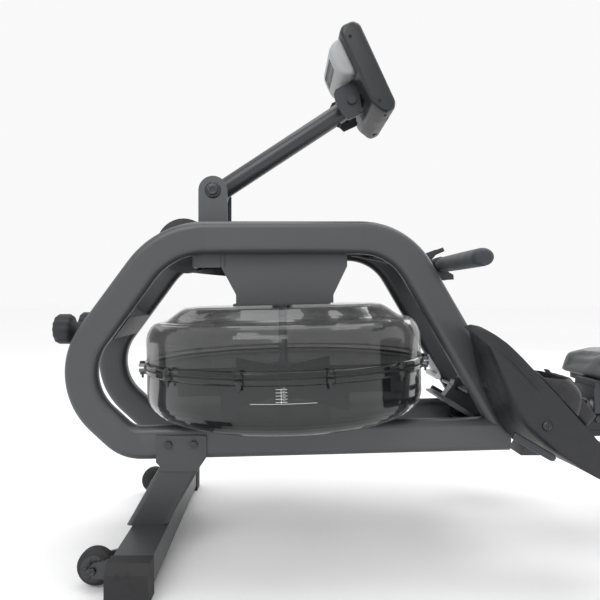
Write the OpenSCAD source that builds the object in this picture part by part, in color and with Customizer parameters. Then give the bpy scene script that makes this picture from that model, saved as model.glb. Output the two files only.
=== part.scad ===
// Water-tank rowing machine: two bent-tube side loops carry a round water
// tank with an impeller, a strap drive with recoil cord, a tilting console,
// a sloping rail with a rolling seat, two footplates and two stabilisers.
// Millimetres, +Z up, +X towards the rear end, +Y to the rower's right.
// The origin is on the floor, in the middle of the length and the width.

/* [Overall] */
// Distance from the middle of the length forward to the tank's axis
tank_offset = 597.5; // [590:0.5:605]
// Slope of the lower frame tubes, the tank and the rail, in degrees
base_tilt = 1.45; // [1.2:0.05:1.7]
// Width over the stabilisers' end caps
overall_w = 524; // [500:2:560]

/* [Side loops] */
// Tube size in the plane of the loop
tube_w = 56; // [54:1:58]
// Tube size across the loop
tube_d = 32; // [30:1:34]
// Tube wall
tube_wall = 2.5; // [1.5:0.5:4]
// Rounding of the tube's long edges
tube_r = 13; // [10:1:15]
// Distance from the middle plane to each loop's middle plane
loop_y = 93.5; // [92:0.5:95]
// Height of the top tube's axis
top_z = 541.5; // [538:0.5:545]
// Distance from the tank's axis to the flat rear end of the lower tube
loop_rear = 383.5; // [380:0.5:388]

/* [Tank] */
// Height of the tank's flange above the floor
flange_z = 322; // [320:1:324]
// Radius of the flange
flange_r = 256; // [255:1:258]
// Outer radius of the tank's wall
tank_r = 251; // [248:1:252]
// Wall of both shells
tank_wall = 4; // [3:0.5:5]
// Number of bolts round the flange
flange_bolts = 12; // [8:1:16]
// Number of impeller blades
blades = 6; // [4:1:8]

/* [Drive] */
// Height of the front pulley's axis
pulley_z = 535; // [533:1:537]
// Radius of the front pulley's flanges
pulley_r = 50; // [48:1:51]
// Width of the drive strap
strap_w = 25; // [20:1:26]
// Thickness of the drive strap
strap_t = 2; // [1.5:0.5:2.5]

/* [Mast and console] */
// Height of the mast's pivot
mast_z = 632; // [630:1:636]
// Distance between the mast's pivot and the console's pivot
mast_l = 300; // [290:1:310]
// Angle of the mast above the horizontal
mast_angle = 33.3; // [30:0.1:36]
// Diameter of the mast tube
mast_d = 36; // [32:1:38]
// Width of the console
console_w = 180; // [160:2:200]
// Height of the console along its screen
console_h = 170; // [150:2:180]
// Lean of the console's screen from the vertical
console_lean = 24.8; // [20:0.1:28]

/* [Handle] */
// Length of the handle over its end caps
handle_w = 486; // [460:2:490]
// Diameter of the foam grips
grip_d = 30; // [29:1:32]
// Height of the handle's axis
handle_z = 499; // [498:1:500]
// Distance from the tank's axis to the handle's axis
handle_x = 291.5; // [290:0.5:292]

/* [Rail and seat] */
// Width of the rail
rail_w = 60; // [58:1:62]
// Height of the rail
rail_h = 39; // [38:1:40]
// Length of the rail
rail_l = 1275; // [1270:1:1276]
// Width of the seat
seat_w = 300; // [280:2:310]
// Length of the seat
seat_l = 240; // [230:2:244]
// Radius of the seat's running rollers
roller_r = 19; // [17:0.5:19]

/* [Footplates] */
// Slope of the foot surface below the horizontal
foot_angle = 47; // [45:0.5:48]
// Width of one footplate
foot_w = 118; // [110:1:120]
// Distance from the middle plane to the inner edge of a footplate
foot_y = 117; // [116:1:120]

/* [Hidden] */
$fn = 64;
fit = 0.05;
gap = 0.4;
inner_y = loop_y - tube_d / 2;
outer_y = loop_y + tube_d / 2;
tilt_slope = tan(base_tilt);

// Corners of a loop's centreline, counter-clockwise from the foot of the rear leg
leg_slope = 60;
top_rear_x = 195.5;
leg_foot_z = 206;
leg_foot_x = top_rear_x + (top_z - leg_foot_z) / tan(leg_slope);
lower_z = 197.3;
loop_path = [
    [leg_foot_x, leg_foot_z],
    [top_rear_x, top_z],
    [-203, top_z],
    [-383, 297],
    [-266.5, lower_z - 266.5 * tilt_slope],
    [loop_rear + 20, lower_z + (loop_rear + 20) * tilt_slope]
];
bend_radii = [0, 112, 138, 108, 60, 0];
// How far a bend lies inside the straight runs' surface, and how many degrees it laps into them
skin = 0.05;
lap = 1;

// Tank heights, measured from the flange
lip_t = 6;
gasket_t = 3;
bowl_h = 96.5;
bowl_r = 185;
plateau_h = 104;
plateau_r = 174;
shaft_r = 8;
blade_r = 200;

// Drive
pulley_x = -184.5;
groove_r = pulley_r - 5;
axle_r = 6;
guide_r = 14;
guide_x = 226;
guide_z = handle_z + strap_t / 2 + guide_r + gap;
spool_r = 30;
spool_h = pulley_z - groove_r - strap_t / 2 - flange_z;
strap_end_x = 270;
cord_r = 4;
cord_y = 17.5;
cord_z = 520;
cord_turn_x = 186;
cord_end_x = 60;
cover_z = 550;

// Mast and console
mast_x = -127.5;
clevis_y = 42;
clevis_t = 5;
clevis_w = 52;
console_x = mast_x + mast_l * cos(mast_angle);
console_z = mast_z + mast_l * sin(mast_angle);
console_t = 39;
console_back = 18;
console_low = -57;
bracket_y = 39;

// Rail, in its own frame: s along the rail, h above its axis
rail_x = 580;
rail_z = 205.5;
rail_front = -262;
rail_rear = rail_front + rail_l;
rail_wall = 3;
roller_h = rail_h / 2 + roller_r + 0.3;
guard_r = 11;

// Seat
seat_front = 574;
seat_top = 334;

// Footplates, in their own frame: u down the foot surface, n out of it
foot_x = 351;
foot_z = 351;
foot_wall = 4;

// Stabilisers
front_x = -226;
rear_x = 1565.5;
foot_tube_w = 60;
foot_tube_low = 12;
foot_tube_top = 54;
cap_l = 30;
cap_w = 64;

// ---- Placing -------------------------------------------------------------

// Everything is drawn from the tank's axis and moved to the row's origin
module placed() translate([-tank_offset, 0, 0]) children();

// Frame of the tank: origin at the flange, axis leaning with the lower tubes
module on_tank() placed() translate([0, 0, flange_z]) rotate([0, -base_tilt, 0]) children();

// Frame of the rail: origin on its axis, X along the rail
module on_rail() placed() translate([rail_x, 0, rail_z]) rotate([0, -base_tilt, 0]) children();

// Frame of a footplate: X down the slope, Z out of the foot surface
module on_foot() placed() translate([foot_x, 0, foot_z]) rotate([0, foot_angle, 0]) children();

// Frame of the console: origin at its pivot, X out of the screen, Z up the screen
module on_console() placed() translate([console_x, 0, console_z]) rotate([0, -console_lean, 0]) children();

// The same thing on both sides of the middle plane
module both_sides() {
    children();
    mirror([0, 1, 0]) children();
}

// A cylinder along Y, from y0 to y1
module bar_y(r, y0, y1) translate([0, y1, 0]) rotate([90, 0, 0]) cylinder(r = r, h = y1 - y0);

// A ring along Y
module ring_y(r, bore, y0, y1) difference() {
    bar_y(r, y0, y1);
    bar_y(bore, y0 - 1, y1 + 1);
}

// A flat plate in the XZ plane, from y0 to y1
module plate_y(y0, y1) translate([0, y1, 0]) rotate([90, 0, 0]) linear_extrude(y1 - y0) children();

// A block from one corner to the opposite one
module block(low, high) translate(low) cube(high - low);

// A rectangle with round corners, centred
module round_rect(w, h, r) union() {
    square([w - 2 * r, h], center = true);
    square([w, h - 2 * r], center = true);
    for (sx = [-1, 1], sy = [-1, 1])
        translate([sx * (w / 2 - r), sy * (h / 2 - r)]) circle(r);
}

// ---- Bent tubes ----------------------------------------------------------

function unit(v) = v / norm(v);
function turn(p, i) =
    let (a = unit(p[i] - p[i - 1]), b = unit(p[i + 1] - p[i]))
    atan2(a.x * b.y - a.y * b.x, a.x * b.x + a.y * b.y);
function tangent(p, r, i) = r[i] == 0 ? 0 : r[i] * tan(turn(p, i) / 2);

// Section of a tube: w in the loop's plane, d across it, open inside unless wall is 0
module section(w, d, round, wall) difference() {
    round_rect(w, d, round);
    if (wall > 0) round_rect(w - 2 * wall, d - 2 * wall, round - wall);
}

// Straight run i of a tube bent along corner points p in the XZ plane
module run(p, r, i) {
    way = unit(p[i + 1] - p[i]);
    from = p[i] + way * tangent(p, r, i);
    length = norm(p[i + 1] - p[i]) - tangent(p, r, i) - tangent(p, r, i + 1);
    translate([from.x, 0, from.y])
        rotate([0, -atan2(way.y, way.x), 0])
            rotate([0, 90, 0])
                linear_extrude(length) children();
}

// Bend of the same tube at corner i, lapped a little into the straight runs
module bend(p, r, i) {
    way = unit(p[i] - p[i - 1]);
    centre = p[i] - way * tangent(p, r, i) + [-way.y, way.x] * r[i];
    translate([centre.x, 0, centre.y])
        rotate([90, 0, 0])
            rotate([0, 0, atan2(-way.x, way.y) - lap])
                rotate_extrude(angle = turn(p, i) + 2 * lap) translate([r[i], 0]) children();
}

module loop_section(wall) section(tube_w, tube_d, tube_r, wall);
module bend_section() section(tube_w - 2 * skin, tube_d - 2 * skin, tube_r - skin, tube_wall - 2 * skin);
module lower_run_solid(inset) run(loop_path, bend_radii, 4)
    section(tube_w - 2 * inset, tube_d - 2 * inset, tube_r - 1.5 * inset, 0);

// A loop: the rear leg ends inside the lower tube's wall, and both end flat at the rear
module loop() intersection() {
    union() {
        difference() {
            run(loop_path, bend_radii, 0)
                section(tube_w - 8 * skin, tube_d - 8 * skin, tube_r + 4 * skin, tube_wall);
            lower_run_solid(1);
        }
        for (i = [1 : 4]) {
            run(loop_path, bend_radii, i) loop_section(tube_wall);
            bend(loop_path, bend_radii, i) bend_section();
        }
    }
    block([-500, -100, 100], [loop_rear, 100, 700]);
}

module left_loop() color("#5f6163") placed() translate([0, -loop_y, 0]) loop();
module right_loop() color("#5f6163") placed() translate([0, loop_y, 0]) loop();

// ---- Frame ---------------------------------------------------------------

mast_base_front = -158;
mast_base_rear = -103;
module mast_base() color("#56585a") placed() {
    difference() {
        block([mast_base_front, -inner_y, 491.5], [mast_base_rear, inner_y, cover_z + 3]);
        block([mast_base_front + 3, 3 - inner_y, 480], [mast_base_rear - 3, inner_y - 3, cover_z]);
        block([mast_base_front - 1, -40, 480], [mast_base_rear + 1, 40, 514]);
        // Room for the front pulley and for the hanger's front edges
        block([mast_base_front - 1, -24, 480], [pulley_x + pulley_r + 3, 24, cover_z + 10]);
        both_sides() block([-hanger_l / 2 - gap, inner_y - hanger_t, 480],
                           [mast_base_rear + 1, inner_y + 1, cover_z]);
    }
    // Cover between the top tubes, with a slot for the strap
    difference() {
        block([mast_base_rear, -inner_y, cover_z], [190, inner_y, cover_z + 3]);
        block([mast_base_rear - 1, -20, cover_z - 1], [20, 20, cover_z + 4]);
    }
    // Anchor lug of the recoil cord and post of its roller
    block([cord_end_x - 16, -cord_y - 8, cord_z - 8], [cord_end_x, -strap_w / 2 - 1, cover_z]);
    translate([cord_turn_x - 20, 0, cord_z + 7]) block([0, -8, 17], [30, 8, 23]);
    translate([cord_turn_x, 0, cord_z - 6]) cylinder(r = axle_r, h = cover_z - cord_z + 6);
}

// Middle of the front beam on the front leg's centreline
front_slope = atan2(top_z - loop_path[3].y, loop_path[2].x - loop_path[3].x);
beam_z = 402;
beam_x = loop_path[2].x - (top_z - beam_z) / tan(front_slope);
foot_stem_z = 383.5;
foot_stem_y = 63;
module front_cross_beam() color("#5a5c5e") placed() difference() {
    union() {
        translate([beam_x, 0, beam_z]) rotate([0, -front_slope, 0])
            block([-23, -inner_y, -tube_w / 2], [23, inner_y, tube_w / 2]);
        both_sides() translate([-334, foot_stem_y, foot_stem_z])
            rotate([0, 90, 0]) cylinder(r = 13, h = 26);
    }
    translate([beam_x, 0, beam_z]) rotate([0, -front_slope, 0])
        block([-20, 3 - inner_y, 3 - tube_w / 2], [20, inner_y - 3, tube_w / 2 - 3]);
}

module storage_feet() color("#36363c") placed() both_sides() translate([0, foot_stem_y, foot_stem_z]) {
    translate([-372, 0, 0]) rotate([0, 90, 0]) cylinder(r = 8, h = 38);
    translate([-402.5, 0, 0]) rotate([0, 90, 0]) rotate_extrude()
        polygon([[0, 0], [22, 0], [26.5, 5], [26.5, 22], [22, 27], [14, 30.5], [0, 30.5]]);
}

hanger_t = 4;
hanger_l = 221;
hanger_low = plateau_h + hanger_t / 2 + flange_z;
module tank_hanger() color("#5d5f61") {
    placed() both_sides() plate_y(inner_y - hanger_t, inner_y) polygon([
        [-hanger_l / 2, cover_z], [hanger_l / 2, cover_z], [hanger_l / 2, 494], [86.5, 444],
        [86.5, hanger_low + 86.5 * tilt_slope], [-83.5, hanger_low - 83.5 * tilt_slope],
        [-83.5, 444], [-hanger_l / 2, 494]
    ]);
    on_tank() difference() {
        block([-86, 1 - inner_y, plateau_h], [84, inner_y - 1, plateau_h + hanger_t]);
        translate([0, 0, plateau_h - 1]) cylinder(r = 40, h = hanger_t + 2);
    }
}

// Strip and pin that keep the tank from moving back, fixed to the flange's rear lug
module tank_stay() color("#8a8c8e") placed() {
    difference() {
        plate_y(-9, 9) polygon([[256.1, 334], [270, 334], [292, 298], [286, 290], [266, 322], [256.1, 322]]);
        translate([281, 0, 295]) bar_y(5.5, -10, 10);
    }
    translate([281, 0, 295]) bar_y(5.5, -32, 34);
}

// Bracket that ties the rail's front end and its cross rod to both loops
rod_x = 324.5;
rod_z = 272.7;
module rail_bracket() color("#47494b") placed() {
    // Sloping cross plate between the loops
    difference() {
        plate_y(-inner_y, inner_y) polygon([[287, 256], [299, 256], [352, 220.5], [352, 214.5], [287, 252]]);
        rail_space();
    }
    // Lug with a round top for the cross rod
    difference() {
        plate_y(-12, 12) union() {
            polygon([[292, 255], [349, 220.5], [370, 221.5], [361, 241], [338, 284], [314, 276], [299, 256]]);
            translate([rod_x + 6, rod_z + 3]) circle(15);
        }
        translate([rod_x, 0, rod_z]) bar_y(5.05, -13, 13);
    }
    // Floor that the rail's end is bolted to
    difference() {
        block([334, -inner_y, 174], [372, inner_y, 182]);
        rail_space();
    }
    both_sides() block([334, inner_y - 6, 182], [372, inner_y, 219]);
}

leg_angle = 60.5;
leg_top = [-174, 157];
leg_bolts = [[-194.5, 191], [-152, 192]];
bolt_r = 4;
// Tube that runs down and forward from the loop
module leg_tube(w, d, round) translate([leg_top.x, 0, leg_top.y])
    rotate([0, -90 - leg_angle, 0])
        translate([0, 0, -20]) linear_extrude(200) round_rect(w, d, round);

module front_legs() color("#525456") placed() both_sides() {
    // Tube from the loop down to the stabiliser
    translate([0, loop_y, 0]) difference() {
        leg_tube(60, tube_d, 8);
        leg_tube(54, tube_d - 6, 5);
        lower_run_solid(0);
        block([-400, -50, -100], [0, 50, foot_tube_top]);
        block([-400, -50, 170], [0, 50, 300]);
    }
    // Plate bolted to the loop's outer face
    plate_y(outer_y, outer_y + 4) difference() {
        polygon([
            [-215.5, 207], [-130.5, 207], [-130.5, 170], [-139, 158], [-147, 147],
            [-213, 147], [-209, 155], [-215.5, 162]
        ]);
        for (at = leg_bolts) translate(at) circle(bolt_r);
    }
}

// A stabiliser: a flat tube across the machine
module stabiliser(x) translate([x, 0, 0]) difference() {
    block([-foot_tube_w / 2, -overall_w / 2 + cap_l, foot_tube_low],
          [foot_tube_w / 2, overall_w / 2 - cap_l, foot_tube_top]);
    block([3 - foot_tube_w / 2, -overall_w / 2, foot_tube_low + 3],
          [foot_tube_w / 2 - 3, overall_w / 2, foot_tube_top - 3]);
}

wheel_x = front_x - 60;
wheel_y = 205;
wheel_z = 32;
wheel_r = 28;
module front_stabiliser() color("#4c4e50") placed() {
    stabiliser(front_x);
    // Ears and axle of each transport wheel
    both_sides() {
        for (y = [wheel_y - 19, wheel_y + 14])
            plate_y(y, y + 5) polygon([
                [front_x - 30, 18], [front_x - 30, 50], [wheel_x, wheel_z + 11],
                [wheel_x - 9, wheel_z], [wheel_x, wheel_z - 11]
            ]);
        translate([wheel_x, 0, wheel_z]) bar_y(5, wheel_y - 22, wheel_y + 22);
    }
}

module transport_wheel() color("#2c2d2f") placed() translate([wheel_x, 0, wheel_z]) {
    difference() {
        bar_y(wheel_r, wheel_y - 12, wheel_y + 12);
        bar_y(5 + fit, wheel_y - 13, wheel_y + 13);
        for (side = [-1, 1])
            translate([0, wheel_y + side * 12, 0]) ring_y(wheel_r - 6, 11, -4, 4);
    }
}
module left_transport_wheel() mirror([0, 1, 0]) transport_wheel();
module right_transport_wheel() transport_wheel();

module rear_stabiliser() color("#4c4e50") placed() stabiliser(rear_x - cap_w / 2 + 32);

module rear_leg() color("#525456") placed() {
    difference() {
        block([1530, -30, foot_tube_top], [1590, 30, 209]);
        block([1533, -27, foot_tube_top - 1], [1587, 27, 210]);
        over_rail();
    }
    difference() {
        block([1500, -30, 203], [1592, 30, 230]);
        over_rail();
    }
}

// Space over the rail's underside, taken out of what the rail rests on
module over_rail() translate([rail_x, 0, rail_z]) rotate([0, -base_tilt, 0])
    block([-400, -100, -rail_h / 2], [1100, 100, 100]);
// Space of the rail itself
module rail_space() translate([rail_x, 0, rail_z]) rotate([0, -base_tilt, 0])
    block([-300, -rail_w / 2, -rail_h / 2], [0, rail_w / 2, rail_h / 2]);

// One rubber end cap at the end of a stabiliser, with its foot on the floor
module stabiliser_cap(x) translate([x, 0, 0]) difference() {
    block([-cap_w / 2, overall_w / 2 - cap_l - 7, 0], [cap_w / 2, overall_w / 2, foot_tube_top + 2]);
    block([-foot_tube_w / 2, overall_w / 2 - cap_l - 20, foot_tube_low],
          [foot_tube_w / 2, overall_w / 2 - cap_l, foot_tube_top]);
    translate([-50, overall_w / 2, foot_tube_top + 2]) rotate([45, 0, 0]) block([0, -9, -9], [100, 9, 9]);
}
module stabiliser_caps() color("#232425") placed() both_sides() {
    stabiliser_cap(front_x);
    stabiliser_cap(rear_x);
}

// Flush plugs in the loops' rear ends and a cap on the rail's rear end
module end_plugs() color("#232425") {
    placed() both_sides() translate([loop_rear, loop_y, 0]) {
        translate([-8, 0, 207]) rotate([0, 90, 0]) linear_extrude(8) round_rect(48, 25, 9);
        block([-8, -9, 237], [0, 9, 262]);
    }
    on_rail() block([rail_rear, -rail_w / 2, -rail_h / 2], [rail_rear + 4, rail_w / 2, rail_h / 2]);
}

// A hexagon head along Y, its underside at y
module head_y(x, z, y) translate([x, y, z]) rotate([-90, 0, 0]) cylinder(r = 7, h = 4.5, $fn = 6);

// Bolts of the legs and the rail, the rail's cross rod and the mast's pivot bolt
module frame_bolts() color("#8d8f91") placed() {
    both_sides() {
        for (at = leg_bolts) {
            head_y(at.x, at.y, outer_y + 4);
            translate([at.x, 0, at.y]) bar_y(bolt_r, outer_y, outer_y + 4);
        }
        head_y(574, 217, rail_w / 2);
    }
    translate([rod_x, 0, rod_z]) bar_y(5, -inner_y, inner_y);
    mast_bolt();
}

// ---- Tank and impeller ---------------------------------------------------

steps = 10;
// Outer and inner curve of the lower bowl, from its flat bottom to its wall
function bowl(r, h, t) = [
    for (i = [0 : steps]) let (a = 90 * i / steps)
        [r + (tank_r - t - r) * sin(a), -50 - (h - 50 - t) * cos(a)]
];
// Shoulder of the upper shell, from its wall to the raised middle
function shoulder(t) = concat(
    [for (i = [0 : steps]) let (a = 90 * i / steps) [226 + (25 - t) * cos(a), 41 + (37 - t) * sin(a)]],
    [for (i = [1 : steps]) let (s = i / steps)
        [226 - (226 - plateau_r) * s, 78 - t + (plateau_h - 78) * (1 - cos(180 * s)) / 2]]
);
function reversed(list) = [for (i = [len(list) - 1 : -1 : 0]) list[i]];

// Ears on the flange for the bolts
bolt_ring = flange_r + 2;
module bolt_ears(low, high) for (i = [0 : flange_bolts - 1])
    rotate(360 * (i + 0.5) / flange_bolts) translate([bolt_ring, 0, low + 0.2]) difference() {
        cylinder(r = 6.5, h = high - low - 0.4);
        translate([-20, -10, -1]) cube([20 + tank_r - bolt_ring + 1, 20, high - low + 2]);
    }

module tank_lower() color([0.25, 0.26, 0.27, 0.6]) on_tank() {
    rotate_extrude($fn = 96) polygon(concat(
        [[0, -bowl_h], [bowl_r, -bowl_h]], bowl(bowl_r, bowl_h, 0),
        [[tank_r, -lip_t - gasket_t / 2], [flange_r, -lip_t - gasket_t / 2], [flange_r, -gasket_t / 2]],
        [[tank_r - tank_wall, -gasket_t / 2]],
        reversed(bowl(bowl_r, bowl_h, tank_wall)), [[0, tank_wall - bowl_h]]
    ));
    bolt_ears(-lip_t - gasket_t / 2, -gasket_t / 2);
    // Cup of the shaft's lower bearing
    translate([0, 0, tank_wall - bowl_h]) difference() {
        cylinder(r = 18, h = 16);
        translate([0, 0, 4]) cylinder(r = shaft_r + fit, h = 16);
    }
}

plug_y = 118;
plug_r = 18;
module tank_upper() color([0.25, 0.26, 0.27, 0.6]) on_tank() {
    difference() {
        rotate_extrude($fn = 96) polygon(concat(
            [[tank_r - tank_wall, gasket_t / 2], [flange_r, gasket_t / 2], [flange_r, lip_t + gasket_t / 2]],
            [[tank_r, lip_t + gasket_t / 2]], shoulder(0),
            [[20, plateau_h], [20, plateau_h - tank_wall]], reversed(shoulder(tank_wall))
        ));
        translate([0, plug_y, plateau_h - 10]) cylinder(r = plug_r, h = 20);
    }
    bolt_ears(gasket_t / 2, lip_t + gasket_t / 2);
}

module fill_plug() color("#232425") on_tank() translate([0, plug_y, 0]) {
    translate([0, 0, plateau_h - tank_wall - 4]) cylinder(r = plug_r, h = tank_wall + 4);
    translate([0, 0, plateau_h]) cylinder(r = plug_r + 5, h = 5);
    translate([-4, -16, plateau_h + 5]) cube([8, 32, 8]);
}

module tank_gasket() color("#1c1d1e") on_tank() difference() {
    translate([0, 0, -gasket_t / 2]) cylinder(r = flange_r - 0.5, h = gasket_t, $fn = 96);
    translate([0, 0, -gasket_t]) cylinder(r = tank_r - tank_wall, h = 2 * gasket_t, $fn = 96);
}

module tank_bolts() color("#8d8f91") on_tank() for (i = [0 : flange_bolts - 1])
    rotate(360 * (i + 0.5) / flange_bolts) translate([bolt_ring, 0, 0]) {
        translate([0, 0, lip_t + gasket_t / 2]) cylinder(r = 4.5, h = 4);
        translate([0, 0, -gasket_t / 2 - lip_t - 10]) cylinder(r = 2, h = 6);
        translate([0, 0, -gasket_t / 2 - lip_t - 4]) cylinder(r = 4.5, h = 4, $fn = 6);
    }

module bearing_housing() color("#3b3d3f") on_tank() difference() {
    union() {
        translate([0, 0, plateau_h]) cylinder(r = 39.5, h = 12);
        translate([0, 0, plateau_h]) cylinder(r = 26, h = 26);
    }
    translate([0, 0, plateau_h - 1]) cylinder(r = shaft_r + fit, h = 28);
}

shaft_low = tank_wall - bowl_h + 5;
module impeller_shaft() color("#b9bbbd") on_tank() {
    translate([0, 0, shaft_low]) cylinder(r = shaft_r, h = spool_h + 34 - shaft_low);
}

module impeller() color("#3f4143") on_tank() {
    difference() {
        translate([0, 0, -70]) cylinder(r = 24, h = 64);
        translate([0, 0, -71]) cylinder(r = shaft_r, h = 66);
    }
    for (i = [0 : blades - 1]) rotate(360 * i / blades) translate([22, -2, -64]) cube([blade_r - 22, 4, 52]);
}

// ---- Strap drive and recoil cord -----------------------------------------

module strap_spool() color("#2a2b2d") on_tank() translate([0, 0, spool_h]) difference() {
    union() {
        translate([0, 0, -14]) cylinder(r = spool_r, h = 28);
        for (h = [-17, 14]) translate([0, 0, h]) cylinder(r = spool_r + 15, h = 3);
        translate([0, 0, 17]) cylinder(r = 13, h = 16);
    }
    translate([0, 0, -18]) cylinder(r = shaft_r + fit, h = 60);
}

module front_pulley() color("#55575a") placed() translate([pulley_x, 0, pulley_z]) difference() {
    union() {
        bar_y(groove_r, -19, 19);
        both_sides() bar_y(pulley_r, 17, 20);
    }
    bar_y(axle_r + fit, -21, 21);
    for (side = [-1, 1]) translate([0, side * 20, 0]) ring_y(groove_r - 7, 16, -5, 5);
}

module guide_roller() color("#2a2b2d") placed() translate([guide_x, 0, guide_z])
    ring_y(guide_r, axle_r + fit, -18, 18);

module cord_roller() color("#2a2b2d") placed() translate([cord_turn_x, 0, cord_z]) difference() {
    rotate_extrude() polygon([[0, -6], [18, -6], [13, -2], [13, 2], [18, 6], [0, 6]]);
    translate([0, 0, -7]) cylinder(r = axle_r + fit, h = 14);
}

// Axles of the front pulley and the guide roller, each with a sleeve on both sides
module roller_axles() color("#a9abad") placed()
    for (at = [[pulley_x, pulley_z, 20.5], [guide_x, guide_z, 18.5]]) translate([at.x, 0, at.y]) {
        bar_y(axle_r, -inner_y, inner_y);
        both_sides() bar_y(axle_r + 3, at.z, inner_y);
    }

// The strap's middle radius on the pulley and on the guide roller
wrap_r = groove_r + gap + strap_t / 2;
guide_wrap_r = guide_r + gap + strap_t / 2;
span = [guide_x - pulley_x, guide_z - pulley_z];
drop = asin((wrap_r + guide_wrap_r) / norm(span)) - atan2(span.y, span.x);
run_from = [pulley_x, pulley_z] + wrap_r * [sin(drop), cos(drop)];
run_to = [guide_x, guide_z] - guide_wrap_r * [sin(drop), cos(drop)];
coil_r = spool_r + 7;

module strap_arc(centre, r, from, sweep) translate([centre.x, 0, centre.y]) rotate([90, 0, 0])
    rotate([0, 0, from]) rotate_extrude(angle = sweep)
        translate([r, 0]) square([strap_t, strap_w], center = true);

module drive_strap() color("#1b1c1e") {
    placed() {
        translate([run_from.x, 0, run_from.y]) rotate([0, drop, 0])
            block([0, -strap_w / 2, -strap_t / 2], [norm(run_to - run_from), strap_w / 2, strap_t / 2]);
        strap_arc([pulley_x, pulley_z], wrap_r, 90 - drop, 180 + drop);
        strap_arc([guide_x, guide_z], guide_wrap_r, 270 - drop, drop);
        // Lower run, turned a quarter on its way to the upright spool
        translate([pulley_x, 0, pulley_z - wrap_r]) rotate([0, 0, atan2(coil_r - 1, -pulley_x - 4)])
            rotate([0, 90, 0]) linear_extrude(184, twist = 90, slices = 12, segments = 4)
                square([strap_t, strap_w], center = true);
    }
    on_tank() translate([0, 0, spool_h - strap_w / 2]) difference() {
        cylinder(r = coil_r, h = strap_w);
        translate([0, 0, -1]) cylinder(r = spool_r + gap, h = strap_w + 2);
    }
}

module strap_lead() color("#1b1c1e") placed() translate([0, 0, handle_z])
    block([guide_x, -strap_w / 2, -strap_t / 2], [strap_end_x, strap_w / 2, strap_t / 2]);

module recoil_cord() color("#17181a") {
    placed() {
        translate([0, cord_y, cord_z]) rotate([0, 90, 0]) cylinder(r = cord_r, h = cord_turn_x);
        translate([cord_turn_x, 0, cord_z]) rotate([0, 0, -90]) rotate_extrude(angle = 180)
            translate([cord_y, 0]) circle(cord_r);
        translate([cord_end_x, -cord_y, cord_z]) rotate([0, 90, 0])
            cylinder(r = cord_r, h = cord_turn_x - cord_end_x);
    }
}

// ---- Mast and console ----------------------------------------------------

module mast_clevis() color("#5f6163") placed() both_sides() difference() {
    union() {
        translate([mast_x, 0, 0]) plate_y(clevis_y, clevis_y + clevis_t) {
            translate([-clevis_w / 2, cover_z + 3]) square([clevis_w, mast_z - cover_z - 3]);
            translate([0, mast_z]) circle(clevis_w / 2);
        }
        block([mast_x - clevis_w / 2, clevis_y, cover_z + 3], [mast_base_rear, 70, cover_z + 7]);
    }
    translate([mast_x, 0, mast_z]) bar_y(axle_r, clevis_y - 1, clevis_y + clevis_t + 1);
}

module mast_bolt() translate([mast_x, 0, mast_z]) {
    bar_y(axle_r, -clevis_y - clevis_t, clevis_y + clevis_t);
    translate([0, -clevis_y - clevis_t, 0]) rotate([90, 0, 0]) cylinder(r = 9, h = 6);
    translate([0, clevis_y + clevis_t, 0]) rotate([-90, 0, 0]) cylinder(r = 10, h = 8, $fn = 6);
}

console_axle_r = 5;
module mast_arm() color("#3a3d42") placed()
    translate([mast_x, 0, mast_z]) rotate([0, -mast_angle, 0]) difference() {
        union() {
            bar_y(mast_d / 2 + 4, gap - clevis_y, clevis_y - gap);
            rotate([0, 90, 0]) cylinder(r = mast_d / 2, h = mast_l);
            // Knuckle, 1 mm clear of the console's back at every tilt
            translate([mast_l, 0, 0]) bar_y(console_back - 1, gap - bracket_y + 4, bracket_y - 4 - gap);
        }
        bar_y(axle_r + fit, -clevis_y, clevis_y);
        rotate([0, 90, 0]) translate([0, 0, mast_d / 2 + 8])
            cylinder(r = mast_d / 2 - 2, h = mast_l - mast_d - 16);
        translate([mast_l, 0, 0]) bar_y(console_axle_r + fit, -bracket_y, bracket_y);
    }

module console_bracket() color("#2f3134") on_console() {
    both_sides() plate_y(bracket_y - 4, bracket_y) polygon([
        [-25, 24], [-18, 30], [console_back, 30], [console_back, 5], [8, -30],
        [-20, -30], [-27, -13], [-28, 8]
    ]);
    block([console_back - 3, 4 - bracket_y, 20], [console_back, bracket_y - 4, 30]);
    bar_y(console_axle_r, -bracket_y, bracket_y);
    both_sides() translate([0, bracket_y, 0]) rotate([-90, 0, 0]) cylinder(r = 8, h = 5);
    both_sides() translate([8, bracket_y, -24]) rotate([-90, 0, 0]) cylinder(r = 4, h = 3);
}

// The console's side outline, X out of the screen and Y up the screen
console_front = console_back + console_t;
console_top = console_low + console_h;
button_h = -30;
module console_outline(inset) polygon([
    [console_back + inset, console_low + 16], [console_back + 6 + inset, console_low + 5],
    [console_back + 18, console_low + inset], [console_front - 8, console_low + inset],
    [console_front - inset, console_low + 8], [console_front - inset, console_top - 10],
    [console_front - 10, console_top - inset], [console_back + 10, console_top - inset],
    [console_back + inset, console_top - 8]
]);

button_y = [-44, 0, 44];
module console_body() color("#434547") on_console() difference() {
    plate_y(-console_w / 2, console_w / 2) console_outline(0);
    plate_y(3 - console_w / 2, console_w / 2 - 3) console_outline(3);
    // Window of the screen and holes of the buttons
    block([console_front - 4, -70, -8], [console_front + 1, 70, 92]);
    for (y = button_y) block([console_front - 4, y - 13 - gap, button_h - 7 - gap],
                             [console_front + 1, y + 13 + gap, button_h + 7 + gap]);
}

module console_rear() color("#b4b6b8") on_console() plate_y(-70, 70) polygon([
    [console_back, 32], [-2, 40], [-8, 52], [-8, 86], [0, 98], [console_back, 102]
]);

module console_screen() color("#20262a") on_console()
    block([console_front - 3, -70, -8], [console_front - 0.5, 70, 92]);

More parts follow.
